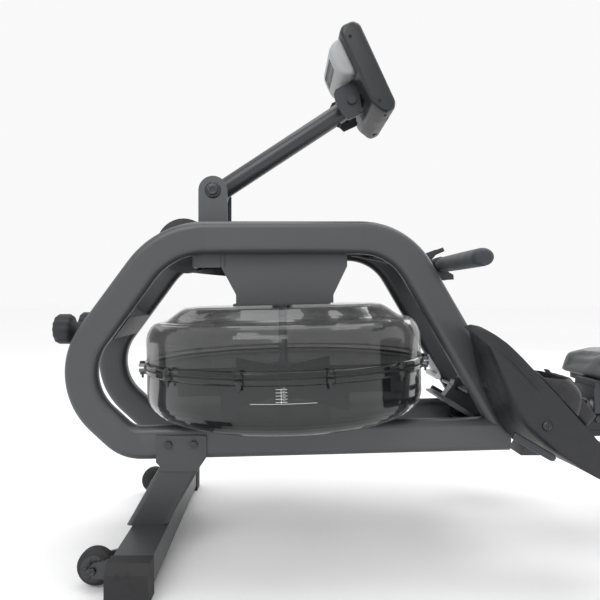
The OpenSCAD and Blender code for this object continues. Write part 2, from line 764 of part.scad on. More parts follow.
module button(y) color("#8e9092") on_console() translate([0, y, button_h]) {
    block([console_front - 6, -13, -7], [console_front + 1.8, 13, 7]);
}
module left_button() button(button_y[0]);
module middle_button() button(button_y[1]);
module right_button() button(button_y[2]);

// ---- Handle and its cradle -----------------------------------------------

bar_r = 11;
grip_in = 38;
module handle_bar() color("#45474a") placed() translate([handle_x, 0, handle_z])
    ring_y(bar_r, bar_r - 2, 3 - handle_w / 2, handle_w / 2 - 3);

module handle_grips() color("#373f45") placed() translate([handle_x, 0, handle_z]) both_sides() {
    ring_y(grip_d / 2, bar_r, grip_in, handle_w / 2 - 3);
    bar_y(grip_d / 2 - 1, handle_w / 2 - 3, handle_w / 2);
}

module handle_yoke() color("#2b2c2e") placed() translate([handle_x, 0, handle_z]) difference() {
    union() {
        bar_y(bar_r + 5, -17, 17);
        block([strap_end_x - handle_x, -17, -7], [-bar_r, 17, 7]);
    }
    bar_y(bar_r, -18, 18);
}

// Two cheeks with a hook each, open towards the rower and clear of the grips
cheek_y = [21, 27];
module handle_cradle() color("#4a4c4f") placed() {
    both_sides() plate_y(cheek_y[0], cheek_y[1]) polygon([
        [239, 527], [262, 520], [292, 531], [295, 524], [279, 517],
        [271, 508], [278.6, 500], [280.5, 491], [289, 487.6], [299, 487.6], [311, 481], [312, 472],
        [276, 470], [262, 484], [252, 503]
    ]);
    // Strip between the rear legs, open in the middle for the strap
    difference() {
        plate_y(-inner_y, inner_y) polygon([[234, 527], [238, 527.6], [265.5, 480], [261.5, 480]]);
        block([220, -19.5, 490], [280, 19.5, 540]);
    }
}

// ---- Rail and seat -------------------------------------------------------

module rail() color("#2e3032") on_rail() difference() {
    block([rail_front, -rail_w / 2, -rail_h / 2], [rail_rear, rail_w / 2, rail_h / 2]);
    block([rail_front - 1, rail_wall - rail_w / 2, rail_wall - rail_h / 2],
          [rail_rear + 1, rail_w / 2 - rail_wall, rail_h / 2 - rail_wall]);
}

seat_travel = 760;
carriage_front = -14;
carriage_l = 230;
module rail_stops() color("#232425") on_rail() {
    for (s = [carriage_front - 18, carriage_front + carriage_l + seat_travel + 2])
        block([s, -14, rail_h / 2], [s + 16, 14, rail_h / 2 + 24]);
}

// Roller axles along the carriage: running rollers and guard rollers
roller_s = [carriage_front + 26, carriage_front + carriage_l - 26];
guard_s = carriage_front + carriage_l / 2;
guard_h = -rail_h / 2 - guard_r - 0.3;
cheek = [rail_w / 2 + 1.5, rail_w / 2 + 5.5];
module seat_carriage() color("#27292c") on_rail() {
    both_sides() plate_y(cheek[0], cheek[1]) difference() {
        polygon([
            [carriage_front, 70], [carriage_front, 23], [guard_s - 36, 23], [guard_s - 24, -20],
            [guard_s - 16, guard_h - 14], [guard_s + 16, guard_h - 14], [guard_s + 24, -20],
            [guard_s + 36, 23], [carriage_front + carriage_l, 23], [carriage_front + carriage_l, 70]
        ]);
    }
    block([carriage_front, -cheek[0], 66], [carriage_front + carriage_l, cheek[0], 70]);
    block([carriage_front, -cheek[0], 48], [carriage_front + 4, cheek[0], 66]);
    block([carriage_front + carriage_l - 4, -cheek[0], 48], [carriage_front + carriage_l, cheek[0], 66]);
    for (s = roller_s) translate([s, 0, roller_h]) bar_y(axle_r - 1, -cheek[0], cheek[0]);
    translate([guard_s, 0, guard_h]) bar_y(axle_r - 1, -cheek[0], cheek[0]);
}
module guard_rollers() color("#d0d2d3") on_rail() translate([guard_s, 0, guard_h])
    both_sides() ring_y(guard_r, axle_r - 1 + fit, 10, 20);

module rollers(s) color("#d0d2d3") on_rail() translate([s, 0, roller_h])
    both_sides() difference() {
        bar_y(roller_r, 6, 28);
        bar_y(axle_r - 1 + fit, 5, 29);
    }
module front_rollers() rollers(roller_s[0]);
module rear_rollers() rollers(roller_s[1]);

// Seat: a pan on the carriage, its underside on the carriage's top, and the cushion on the pan
seat_mid = seat_front + seat_l / 2;
base_low = 262;
base_top = 287;
module seat_base() color("#3b3d40") placed() difference() {
    union() {
        translate([seat_mid, 0, base_low]) linear_extrude(base_top - base_low)
            round_rect(seat_l - 30, seat_w - 40, 40);
        block([rail_x + carriage_front, -cheek[1], base_low], [seat_mid, cheek[1], base_top]);
    }
    translate([rail_x, 0, rail_z]) rotate([0, -base_tilt, 0]) block([-100, -200, 0], [400, 200, 70]);
}

module seat_cushion() color("#5a5c5e") placed() translate([seat_mid, 0, base_top]) intersection() {
    linear_extrude(seat_top - base_top) round_rect(seat_l, seat_w, 50);
    rotate([90, 0, 0]) translate([0, 0, -seat_w]) linear_extrude(2 * seat_w) polygon([
        [-seat_l / 2 - 1, 0], [8 - seat_l / 2, seat_top - base_top - 6],
        [18 - seat_l / 2, seat_top - base_top], [seat_l / 2 - 12, seat_top - base_top],
        [seat_l / 2 + 1, 8], [seat_l / 2 - 8, 0]
    ]);
}

// ---- Footplates ----------------------------------------------------------

foot_outline = [
    [-84, -32], [-84, -20], [-73, -12], [-51, -6], [-30, -2], [0, 0], [150, -1.5], [231, -4],
    [241, -25], [211, -39.4], [144, -60], [119, -64], [84, -76], [74, -93], [39, -91], [-27, -66], [-61, -45]
];
module footplate() color("#3b3d40") on_foot() {
    difference() {
        plate_y(foot_y, foot_y + foot_w) polygon(foot_outline);
        plate_y(foot_y - 1, foot_y + foot_w - foot_wall) offset(delta = -foot_wall) polygon(foot_outline);
    }
    // Adjusting bar along the lower edge
    translate([76, foot_y + foot_w - 8, -88]) rotate([0, 90 - atan2(21, 69), 0]) {
        cylinder(r = 5.8, h = 66);
        translate([0, 0, 66]) sphere(r = 5.8);
    }
}
module left_footplate() mirror([0, 1, 0]) footplate();
module right_footplate() footplate();

cup_y = [foot_y + 9, foot_y + foot_w - 9];
module heel_cup() color("#38383a") on_foot() {
    block([34, cup_y[0], gap], [146, cup_y[1], 4 + gap]);
    for (y = [cup_y[0], cup_y[1] - 5]) plate_y(y, y + 5)
        polygon([[56, gap], [74, 20], [84, 24], [112, 24], [146, 24], [146, gap]]);
    block([141, cup_y[0], gap], [146, cup_y[1], 24]);
}
module left_heel_cup() mirror([0, 1, 0]) heel_cup();
module right_heel_cup() heel_cup();

// Each strap is wide at its two feet and narrow over the instep
strap_u = [38, 119];
module foot_straps() color("#333335") both_sides() on_foot() intersection() {
    plate_y(0, 300) polygon([[strap_u[0], -1], [75, 35], [88, 35], [116, 20], [strap_u[1], -1]]);
    translate([strap_u[0], 0, 0]) rotate([90, 0, 90]) linear_extrude(strap_u[1] - strap_u[0]) polygon([
        [foot_y + 2, 0.2], [foot_y + 2, 24], [foot_y + 12, 34], [foot_y + foot_w - 12, 34],
        [foot_y + foot_w - 2, 24], [foot_y + foot_w - 2, 0.2], [foot_y + foot_w - 5, 0.2],
        [foot_y + foot_w - 5, 23], [foot_y + foot_w - 13, 31], [foot_y + 13, 31], [foot_y + 5, 23],
        [foot_y + 5, 0.2]
    ]);
}

// Carrier of the footplates under the rail, and a stud on each loop
module foot_carrier() color("#2d2f31") placed() {
    plate_y(-28, 28) polygon([[434.5, 150], [600, 150], [600, 166.5], [444, 166.5]]);
    for (x = [450, 528]) difference() {
        block([x, -28, 166.5], [x + 22, 28, 200]);
        over_rail();
    }
    both_sides() {
        block([472, 0, 174], [494, foot_y + foot_w - foot_wall, 180]);
        translate([340, 0, 300]) bar_y(12, outer_y, foot_y + 30);
    }
}

// ---- Drawing -------------------------------------------------------------

left_loop();
right_loop();
mast_base();
front_cross_beam();
tank_hanger();
tank_stay();
rail_bracket();
front_legs();
front_stabiliser();
left_transport_wheel();
right_transport_wheel();
storage_feet();
end_plugs();
frame_bolts();
tank_lower();
tank_upper();
tank_gasket();
tank_bolts();
fill_plug();
bearing_housing();
impeller_shaft();
impeller();
strap_spool();
front_pulley();
guide_roller();
cord_roller();
roller_axles();
drive_strap();
strap_lead();
recoil_cord();
mast_clevis();
mast_arm();
console_bracket();
console_body();
console_rear();
console_screen();
left_button();
middle_button();
right_button();
handle_bar();
handle_grips();
handle_yoke();
handle_cradle();
rail();
rail_stops();
rear_leg();
rear_stabiliser();
stabiliser_caps();
foot_carrier();
left_footplate();
right_footplate();
left_heel_cup();
right_heel_cup();
foot_straps();
seat_cushion();
seat_base();
seat_carriage();
front_rollers();
rear_rollers();
guard_rollers();
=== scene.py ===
import bpy
import bmesh
import math
import numpy as np
from mathutils import Matrix, Vector, noise


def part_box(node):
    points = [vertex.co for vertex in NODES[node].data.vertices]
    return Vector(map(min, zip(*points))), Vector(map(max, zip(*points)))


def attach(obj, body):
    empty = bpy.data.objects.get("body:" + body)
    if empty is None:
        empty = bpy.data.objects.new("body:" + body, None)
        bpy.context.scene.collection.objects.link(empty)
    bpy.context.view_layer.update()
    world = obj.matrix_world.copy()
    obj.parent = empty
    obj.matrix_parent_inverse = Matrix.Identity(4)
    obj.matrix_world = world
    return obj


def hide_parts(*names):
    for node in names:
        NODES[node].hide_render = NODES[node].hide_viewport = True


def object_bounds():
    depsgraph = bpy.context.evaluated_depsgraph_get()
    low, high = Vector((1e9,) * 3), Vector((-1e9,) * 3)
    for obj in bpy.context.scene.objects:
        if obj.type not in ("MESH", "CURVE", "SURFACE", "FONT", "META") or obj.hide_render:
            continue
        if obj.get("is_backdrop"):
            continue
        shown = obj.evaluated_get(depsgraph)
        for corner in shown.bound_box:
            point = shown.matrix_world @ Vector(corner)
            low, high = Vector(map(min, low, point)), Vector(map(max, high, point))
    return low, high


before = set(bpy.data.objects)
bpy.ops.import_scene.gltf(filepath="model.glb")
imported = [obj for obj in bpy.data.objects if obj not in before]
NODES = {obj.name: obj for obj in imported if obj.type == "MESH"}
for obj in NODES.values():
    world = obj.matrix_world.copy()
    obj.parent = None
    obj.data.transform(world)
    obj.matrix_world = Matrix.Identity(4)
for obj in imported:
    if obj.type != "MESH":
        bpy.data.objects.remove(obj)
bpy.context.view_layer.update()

# ---- Placing ---------------------------------------------------------------
# Measures are in millimetres from the tank's axis, as in the CAD source.


def P(x, y, z):
    return Vector(((x - 597.5) / 1000, y / 1000, z / 1000))


def local(x, z, tilt):
    return Matrix.Translation(P(x, 0, z)) @ Matrix.Rotation(math.radians(tilt), 4, "Y")


ON_TANK = local(0, 322, -1.45)
ON_RAIL = local(580, 205.5, -1.45)
ON_FOOT = local(351, 351, 47)
ON_CONSOLE = local(123.24, 796.7, -24.8)


def srgb(r, g, b):
    return tuple(
        (c / 12.92 if c <= 0.04045 else ((c + 0.055) / 1.055) ** 2.4)
        for c in (r / 255, g / 255, b / 255)
    ) + (1,)


# ---- Materials -------------------------------------------------------------


class Mat:
    """A node material: its look comes from object coordinates in metres."""

    def __init__(self, name, rough=0.5, metal=0.0):
        self.m = bpy.data.materials.new(name)
        self.m.use_nodes = True
        self.t = self.m.node_tree
        self.b = self.t.nodes["Principled BSDF"]
        self.b.inputs["Roughness"].default_value = rough
        self.b.inputs["Metallic"].default_value = metal
        self.co = self.t.nodes.new("ShaderNodeTexCoord").outputs["Object"]

    def node(self, kind, **inputs):
        n = self.t.nodes.new(kind)
        for k, v in inputs.items():
            s = n.inputs[k.replace("_", " ")]
            if isinstance(v, bpy.types.NodeSocket):
                self.t.links.new(v, s)
            else:
                s.default_value = v
        return n

    def scaled(self, scale, turn=(0, 0, 0)):
        return self.node("ShaderNodeMapping", Vector=self.co, Scale=scale, Rotation=turn).outputs[0]

    def noise(self, scale, detail=3.0, vector=None, rough=0.55):
        return self.node("ShaderNodeTexNoise", Vector=vector or self.co, Scale=scale, Detail=detail,
                         Roughness=rough).outputs["Fac"]

    def mix(self, fac, a, b):
        n = self.t.nodes.new("ShaderNodeMix")
        n.data_type = "RGBA"
        for i, v in ((0, fac), (6, a), (7, b)):
            if isinstance(v, bpy.types.NodeSocket):
                self.t.links.new(v, n.inputs[i])
            else:
                n.inputs[i].default_value = v
        return n.outputs[2]

    def ramp(self, fac, low, high, to_low=0.0, to_high=1.0):
        return self.node("ShaderNodeMapRange", Value=fac, From_Min=low, From_Max=high, To_Min=to_low,
                         To_Max=to_high).outputs[0]

    def math(self, op, a, b=0.0):
        n = self.t.nodes.new("ShaderNodeMath")
        n.operation = op
        for i, v in enumerate((a, b)):
            if isinstance(v, bpy.types.NodeSocket):
                self.t.links.new(v, n.inputs[i])
            else:
                n.inputs[i].default_value = v
        return n.outputs[0]

    def color(self, socket):
        self.t.links.new(socket, self.b.inputs["Base Color"])
        return self

    def rough(self, fac, low, high):
        self.t.links.new(self.ramp(fac, 0.3, 0.7, low, high), self.b.inputs["Roughness"])
        return self

    def bump(self, height, distance, strength=1.0):
        n = self.node("ShaderNodeBump", Height=height, Distance=distance, Strength=strength)
        self.t.links.new(n.outputs[0], self.b.inputs["Normal"])
        return self

    def set(self, **k):
        for key, v in k.items():
            self.b.inputs[key.replace("_", " ")].default_value = v
        return self


def shade(c, f):
    return (min(c[0] * f, 1), min(c[1] * f, 1), min(c[2] * f, 1), 1)


def powder_coat(name, rgb, rough=(0.36, 0.5), metal=0.25):
    c = srgb(*rgb)
    m = Mat(name, metal=metal)
    cloud = m.noise(5.0, 4.0)
    grain = m.noise(1500.0, 2.0)
    flake = m.ramp(m.noise(2600.0, 0.0), 0.62, 0.74)
    # convex edges (high pointiness) are painted lighter: painted highlight where the edges catch the light
    painted_edge_highlight = m.ramp(m.node("ShaderNodeNewGeometry").outputs["Pointiness"], 0.53, 0.6)
    base = m.mix(cloud, shade(c, 0.92), shade(c, 1.08))
    base = m.mix(m.math("MULTIPLY", flake, 0.22), base, shade(c, 2.3))
    m.color(m.mix(m.math("MULTIPLY", painted_edge_highlight, 0.25), base, shade(c, 1.7)))
    m.rough(cloud, *rough)
    return m.bump(grain, 0.00006, 0.5).set(Coat_Weight=0.12, Coat_Roughness=0.25).m


def moulded(name, rgb, rough=(0.45, 0.62), grain=900.0, depth=0.00008, vary=0.08):
    c = srgb(*rgb)
    m = Mat(name)
    cloud = m.noise(14.0, 5.0)
    # convex edges (high pointiness) are painted lighter: painted highlight where the edges catch the light
    painted_edge_highlight = m.ramp(m.node("ShaderNodeNewGeometry").outputs["Pointiness"], 0.52, 0.6)
    base = m.mix(cloud, shade(c, 1 - vary), shade(c, 1 + vary))
    m.color(m.mix(m.math("MULTIPLY", painted_edge_highlight, 0.3), base, shade(c, 1.6)))
    m.rough(m.noise(60.0, 4.0), *rough)
    cells = m.node("ShaderNodeTexVoronoi", Vector=m.co, Scale=grain).outputs["Distance"]
    return m.bump(cells, depth, 0.6).m


def rubber(name, rgb):
    c = srgb(*rgb)
    m = Mat(name)
    dust = m.ramp(m.noise(35.0, 6.0), 0.45, 0.8)
    m.color(m.mix(m.math("MULTIPLY", dust, 0.35), c, shade(c, 1.9)))
    m.rough(dust, 0.7, 0.88)
    return m.bump(m.noise(1100.0, 3.0), 0.0001, 0.7).m


def steel(name, rgb, rough=(0.24, 0.4)):
    c = srgb(*rgb)
    m = Mat(name, metal=1.0)
    lines = m.noise(60.0, 4.0, m.scaled((1, 25, 25)))
    m.color(m.mix(lines, shade(c, 0.86), shade(c, 1.1)))
    m.rough(lines, *rough)
    return m.bump(lines, 0.00004, 0.4).m


def foam(name, rgb):
    c = srgb(*rgb)
    m = Mat(name)
    pores = m.node("ShaderNodeTexVoronoi", Vector=m.co, Scale=700.0).outputs["Distance"]
    # pore pits are painted darker than the foam around them: painted shade in the pores
    m.color(m.mix(m.ramp(pores, 0.1, 0.5), shade(c, 0.72), shade(c, 1.08)))
    m.rough(m.noise(40.0, 4.0), 0.55, 0.72)
    return m.bump(pores, 0.00025, 0.6).set(Sheen_Weight=0.12, Sheen_Roughness=0.5).m


def vinyl(name, rgb):
    c = srgb(*rgb)
    m = Mat(name)
    cells = m.node("ShaderNodeTexVoronoi", Vector=m.co, Scale=420.0)
    cells.feature = "DISTANCE_TO_EDGE"
    crease = m.ramp(cells.outputs["Distance"], 0.0, 0.14)
    cloud = m.noise(9.0, 4.0)
    base = m.mix(cloud, shade(c, 0.93), shade(c, 1.07))
    # the crease lines between the cells are painted darker: painted shade in the creases
    m.color(m.mix(crease, shade(c, 0.72), base))
    m.rough(cloud, 0.42, 0.56)
    return m.bump(crease, 0.00012, 0.55).set(Coat_Weight=0.08, Coat_Roughness=0.35).m


def webbing(name, rgb, along="X", pitch=0.0016):
    """Woven band: crossing ribs across and along, with a darker selvedge of shadow between them."""
    c = srgb(*rgb)
    m = Mat(name)
    k = math.pi / pitch / (2 * math.pi) * 2
    a = m.node("ShaderNodeTexWave", Vector=m.co, Scale=k / 6.283 * 3.14, Distortion=0.4, Detail=1.0)
    a.bands_direction = along
    b = m.node("ShaderNodeTexWave", Vector=m.co, Scale=k / 6.283 * 3.14 * 0.8, Distortion=0.3, Detail=1.0)
    b.bands_direction = "Y"
    weave = m.math("MULTIPLY", a.outputs["Fac"], m.math("ADD", b.outputs["Fac"], 0.35))
    m.color(m.mix(weave, shade(c, 0.55), shade(c, 1.35)))
    m.rough(m.noise(80.0, 3.0), 0.72, 0.9)
    return m.bump(weave, 0.0003, 0.7).set(Sheen_Weight=0.25, Sheen_Roughness=0.45).m


def smoked(name, alpha):
    """Smoked clear shell: thin walls let a share of the light straight through."""
    m = Mat(name)
    cloud = m.noise(6.0, 3.0)
    m.color(m.mix(cloud, (0.006, 0.007, 0.008, 1), (0.012, 0.013, 0.014, 1)))
    m.rough(m.noise(18.0, 4.0), 0.04, 0.11)
    scuff = m.noise(260.0, 4.0, m.scaled((1, 1, 9)))
    m.bump(scuff, 0.00002, 0.25)
    m.set(Alpha=alpha, IOR=1.46, Coat_Weight=0.6, Coat_Roughness=0.04)
    return m.m


def display(name):
    m = Mat(name, rough=0.12)
    z = m.node("ShaderNodeSeparateXYZ", Vector=m.co).outputs["Z"]
    # the window is painted lighter towards its top (world height 0.78 to 0.88 m): painted reflection
    m.color(m.mix(m.ramp(z, 0.78, 0.88), (0.02, 0.026, 0.03, 1), (0.035, 0.045, 0.05, 1)))
    m.rough(m.noise(30.0, 3.0), 0.08, 0.16)
    return m.set(Coat_Weight=0.7, Coat_Roughness=0.04).m


M = {
    "frame": powder_coat("grey_powder_coat", (68, 70, 72)),
    "leg": powder_coat("leg_powder_coat", (58, 60, 61)),
    # the front cross beam takes a darker, rougher copy of the frame's grey coat: painted shade on its lit top
    # face
    "beam": powder_coat("beam_shaded_powder_coat", (40, 41, 43), rough=(0.62, 0.75)),
    "dark": powder_coat("dark_powder_coat", (46, 48, 52), rough=(0.26, 0.4), metal=0.2),
    "rail": powder_coat("black_anodised", (36, 40, 42), rough=(0.3, 0.42), metal=0.5),
    "steel": steel("zinc_steel", (176, 178, 181)),
    "bolt": steel("dark_bolt_steel", (70, 72, 75), rough=(0.3, 0.45)),
    "tank": smoked("smoked_upper_shell", 0.5),
    "sump": smoked("smoked_lower_shell", 0.68),
    "plastic": moulded("dark_moulded_plastic", (44, 45, 48)),
    "foot": moulded("footplate_plastic", (23, 24, 27), rough=(0.42, 0.55), grain=1200.0),
    "heel": moulded("heel_cup_plastic", (31, 31, 34), rough=(0.5, 0.66), grain=1000.0),
    "console": moulded("console_plastic", (29, 31, 34), rough=(0.32, 0.44)),
    "under": moulded("console_underside", (36, 37, 38), rough=(0.42, 0.54)),
    "light": moulded("light_grey_plastic", (150, 151, 152), rough=(0.4, 0.52)),
    "white": moulded("white_nylon", (205, 207, 208), rough=(0.35, 0.5), vary=0.04),
    "button": moulded("button_rubber", (140, 143, 146), rough=(0.5, 0.6)),
    "tick": moulded("scale_print", (214, 215, 214), rough=(0.5, 0.6), vary=0.03),
    "rubber": rubber("black_rubber", (30, 30, 32)),
    "knob": rubber("knob_rubber", (34, 35, 40)),
    "gasket": rubber("gasket_rubber", (22, 23, 24)),
    "foam": foam("grip_foam", (38, 43, 49)),
    "seat": vinyl("seat_vinyl", (62, 64, 65)),
    "seatbase": moulded("seat_base_plastic", (50, 52, 54)),
    "webbing": webbing("drive_webbing", (34, 34, 37)),
    "strap": webbing("foot_webbing", (38, 38, 41), along="Z"),
    "cord": webbing("cord_braid", (30, 31, 33), pitch=0.0022),
    "screen": display("display_window"),
}

NODE_LOOK = {
    "frame": "left_loop right_loop mast_base tank_hanger mast_clevis",
    "beam": "front_cross_beam",
    "leg": "front_legs front_stabiliser rear_leg rear_stabiliser",
    "dark": "rail_bracket mast_arm console_bracket handle_cradle foot_carrier seat_carriage",
    "rail": "rail",
    "steel": "tank_stay impeller_shaft roller_axles handle_bar",
    "bolt": "frame_bolts tank_bolts",
    "tank": "tank_upper",
    "sump": "tank_lower",
    "plastic": "end_plugs fill_plug bearing_housing impeller strap_spool front_pulley guide_roller "
               "cord_roller handle_yoke",
    "rubber": "left_transport_wheel right_transport_wheel rail_stops stabiliser_caps",
    "gasket": "tank_gasket",
    "knob": "storage_feet",
    "webbing": "drive_strap strap_lead",
    "cord": "recoil_cord",
    "console": "console_body",
    "light": "console_rear",
    "screen": "console_screen",
    "button": "left_button middle_button right_button",
    "foam": "handle_grips",
    "foot": "left_footplate right_footplate",
    "heel": "left_heel_cup right_heel_cup",
    "strap": "foot_straps",
    "seat": "seat_cushion",
    "seatbase": "seat_base",
    "white": "front_rollers rear_rollers guard_rollers",
}
for look, names in NODE_LOOK.items():
    for n in names.split():
        o = NODES[n]
        o.data.materials.clear()
        o.data.materials.append(M[look])
        o.data.polygons.foreach_set("use_smooth", [True] * len(o.data.polygons))

# ---- Building meshes -------------------------------------------------------


def build(name, verts, faces, look, body, replaces=(), frame_of=None, bevel=0.0, levels=0,
        scale=0.001):
    """A piece from points in millimetres (in frame_of, or from the tank's axis) and faces."""
    me = bpy.data.meshes.new(name)
    if frame_of is None:
        pts = [P(*v) for v in verts]
    else:
        pts = [frame_of @ (Vector(v) * scale) for v in verts]
    me.from_pydata([tuple(p) for p in pts], [], [tuple(f) for f in faces])
    bm = bmesh.new()
    bm.from_mesh(me)
    bmesh.ops.recalc_face_normals(bm, faces=bm.faces)
    bm.to_mesh(me)
    bm.free()
    me.materials.append(M[look])
    me.polygons.foreach_set("use_smooth", [True] * len(me.polygons))
    o = bpy.data.objects.new(name, me)
    bpy.context.collection.objects.link(o)
    if bevel:
        b = o.modifiers.new("Bevel", "BEVEL")
        b.width, b.segments, b.limit_method, b.angle_limit = bevel / 1000, 3, "ANGLE", math.radians(28)
        b.harden_normals = True
    if levels:
        s = o.modifiers.new("Subdivision", "SUBSURF")
        s.levels = s.render_levels = levels
    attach(o, body)
    if replaces:
        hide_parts(*replaces)
    return o


def grid_faces(rows, cols, closed=True):
    faces = []
    for i in range(rows - 1):
        for j in range(cols if closed else cols - 1):
            k = (j + 1) % cols
            faces.append((i * cols + j, i * cols + k, (i + 1) * cols + k, (i + 1) * cols + j))
    return faces


def loft(rings, caps=True):
    """Points and faces through rings of the same number of points."""
    verts = [tuple(p) for r in rings for p in r]
    n = len(rings[0])
    faces = grid_faces(len(rings), n)
    if caps:
        faces.append(tuple(range(n - 1, -1, -1)))
        faces.append(tuple(range(len(verts) - n, len(verts))))
    return verts, faces


def lathe(profile, origin, axis="Y", n=48, lobes=0, depth=0.0):
    """Rings of a turned shape from a profile of (along, radius), with shallow grip flutes cut by lobes."""
    rings = []
    for a, r in profile:
        ring = []
        for i in range(n):
            t = 2 * math.pi * i / n
            q = r - (depth * (0.5 - 0.5 * math.cos(lobes * t)) if lobes and r > 18 else 0)
            c, s = q * math.cos(t), q * math.sin(t)
            v = {"X": (a, c, s), "Y": (c, a, s), "Z": (c, s, a)}[axis]
            ring.append((origin[0] + v[0], origin[1] + v[1], origin[2] + v[2]))
        rings.append(ring)
    return loft(rings)


def join(*parts):
    verts, faces = [], []
    for v, f in parts:
        k = len(verts)
        verts += list(v)
        faces += [tuple(i + k for i in q) for q in f]
    return verts, faces


def prism(outline, y0, y1):
    """A flat plate: outline in X and Z, from y0 to y1."""
    return loft([[(x, y, z) for x, z in outline] for y in (y0, y1)])


def slab(x0, x1, y0, y1, z0, z1):
    return prism([(x0, z0), (x1, z0), (x1, z1), (x0, z1)], y0, y1)


def interp(t, pts):
    xs, ys = zip(*pts)
    return float(np.interp(t, xs, ys))


def head(x, y, z, side, r=7.0, h=4.5, sides=6, dome=0.0, turn=0.2):
    """A screw head standing off a face whose outward way is side along Y."""
    rings = []
    prof = [(0, r), (h * 0.75, r), (h, r * 0.86)]
    if dome:
        prof = [(0, r), (h * 0.4, r * 0.97), (h * 0.8, r * 0.75), (h, r * 0.42)]
    prof += [(h, r * 0.4), (h - 1.6, r * 0.36)]
    for a, q in prof:
        n = 24
        ring = []
        for i in range(n):
            t = 2 * math.pi * i / n + turn
            k = q
            if not dome and q > r * 0.5:
                w = (t - turn) % (2 * math.pi / sides) - math.pi / sides
                k = q * math.cos(math.pi / sides) / math.cos(w)
            ring.append((x + k * math.cos(t), y + side * a, z + k * math.sin(t)))
        rings.append(ring)
    return loft(rings)


SIDES = (("left", -1), ("right", 1))

# ---- Handle ----------------------------------------------------------------

HX, HZ = 291.5, 499.0
GRIP_OVAL = (1.1, 0.92)
grip_profile = [(38, 11.5), (38.4, 14.2), (40, 15.0), (60, 15.0)]
grip_profile += [(60 + 10 * i, 15.0 + 0.25 * math.sin(math.pi * i / 16)) for i in range(1, 17)]
grip_profile += [(228, 15.0), (234, 14.6), (238.5, 13.2), (241.5, 10.4), (242.8, 6.5), (243, 2.0)]
for name, side in SIDES:
    v, f = lathe([(side * a, r) for a, r in grip_profile], (HX, 0, HZ), n=40)
    v = [(HX + (x - HX) * GRIP_OVAL[0], y, HZ + (z - HZ) * GRIP_OVAL[1]) for x, y, z in v]
    build("grip_" + name, v, f, "foam", "handle", ["handle_grips"] if side < 0 else ())
    v, f = lathe([(side * a, r) for a, r in [(27.5, 11.2), (28, 13), (30, 13.6), (35, 13.6), (37.4, 13),
        (37.8, 11.2)]],
                 (HX, 0, HZ), n=40)
    build("grip_collar_" + name, v, f, "plastic", "handle")
yoke = []
for y, r in ((-17, 13.5), (-15.5, 15.6), (-13, 16), (13, 16), (15.5, 15.6), (17, 13.5)):
    ring = []
    for i in range(36):
        t = 2 * math.pi * i / 36
        x, z = r * math.cos(t), r * math.sin(t)
        pull = max(0.0, -math.cos(t)) ** 1.5
        ring.append((HX + x - 5.5 * pull, y, HZ + z * (1 - 0.45 * pull)))
    yoke.append(ring)
v, f = loft(yoke)
build("yoke_shell", v, f, "plastic", "handle", ["handle_yoke"])
# Stitched fold that holds the strap to the yoke
v, f = slab(268, 277.5, -12.6, 12.6, 496.2, 501.8)
build("strap_fold", v, f, "webbing", "handle", bevel=0.8)
for x in (270, 275.5):
    parts = [slab(x - 0.5, x + 0.5, y - 1.1, y + 1.1, 501.7, 502.2) for y in np.arange(-11, 11.5, 3)]
    v, f = join(*parts)
    build("strap_stitch_%d" % x, v, f, "light", "handle")

# ---- Storage feet ----------------------------------------------------------

foot_profile = [(-364, 8.5), (-366, 13), (-371.5, 14), (-372, 22), (-375.5, 25.6), (-378, 26.4), (-396, 26.4),
                (-399.5, 24.6), (-401.8, 21), (-402.4, 15), (-401, 13.5), (-401, 2)]
for name, side in SIDES:
    a = lathe(foot_profile, (0, side * 63, 383.5), axis="X", n=96, lobes=12, depth=1.7)
    b = lathe([(-372, 8), (-366, 11.5), (-352, 12.5), (-334, 12.9), (-334, 8)], (0, side * 63, 383.5),
        axis="X", n=40)
    v, f = join(a, b)
    build("storage_foot_" + name, v, f, "knob", "frame", ["storage_feet"] if side < 0 else ())

# ---- Footplates ------------------------------------------------------------

TOP = [(-84, -24), (-81, -17), (-73, -11.5), (-51, -5.5), (-30, -1.5), (0, 0), (75, 0), (150, -1.5),
    (231, -4), (241, -14)]
OUTER_LOW = [(-85, -27), (-72, -26), (-60, -25.6), (-41, -23.2), (16, -44), (55, -58.5), (73, -63),
    (86, -63.4),
             (123, -60), (144, -57), (211, -39.4), (241, -24)]
INNER_LOW = [(-85, -12), (-54, -9), (-30, -24), (9.7, -47.2), (50, -64), (85, -76.4), (108, -79),
    (126, -77.5),
             (160, -63), (211, -42), (241, -25)]
HALF = [(-84, 30), (-80, 41), (-70, 50), (-50, 56.5), (-20, 58.6), (40, 59), (150, 59), (215, 58),
    (233, 54), (241, 47)]
FOOT_Y = 176.0
# Two raised ridges along the outer flank: how high, how wide, and how far below the top edge
BEAD_H = 2.4
BEAD_R = 1.6
BEAD_AT = (11.5, 18)
# Distances down the flank at which its section has points
FLANK_AT = (1.5, 4, 7, 9, 10.2, 11.4, 12.6, 14, 15.4, 16.8, 18, 19.2, 20.6, 22.6, 26, 27, 28, 29, 30)


def foot_u(q, y):
    """Place down the slope of station q, 0 to 1: the upper end is drawn back towards the inner side."""
    start = -85 + 31 * max(0.0, (1 - y / 59) / 2) ** 1.5
    return start + (241 - start) * q


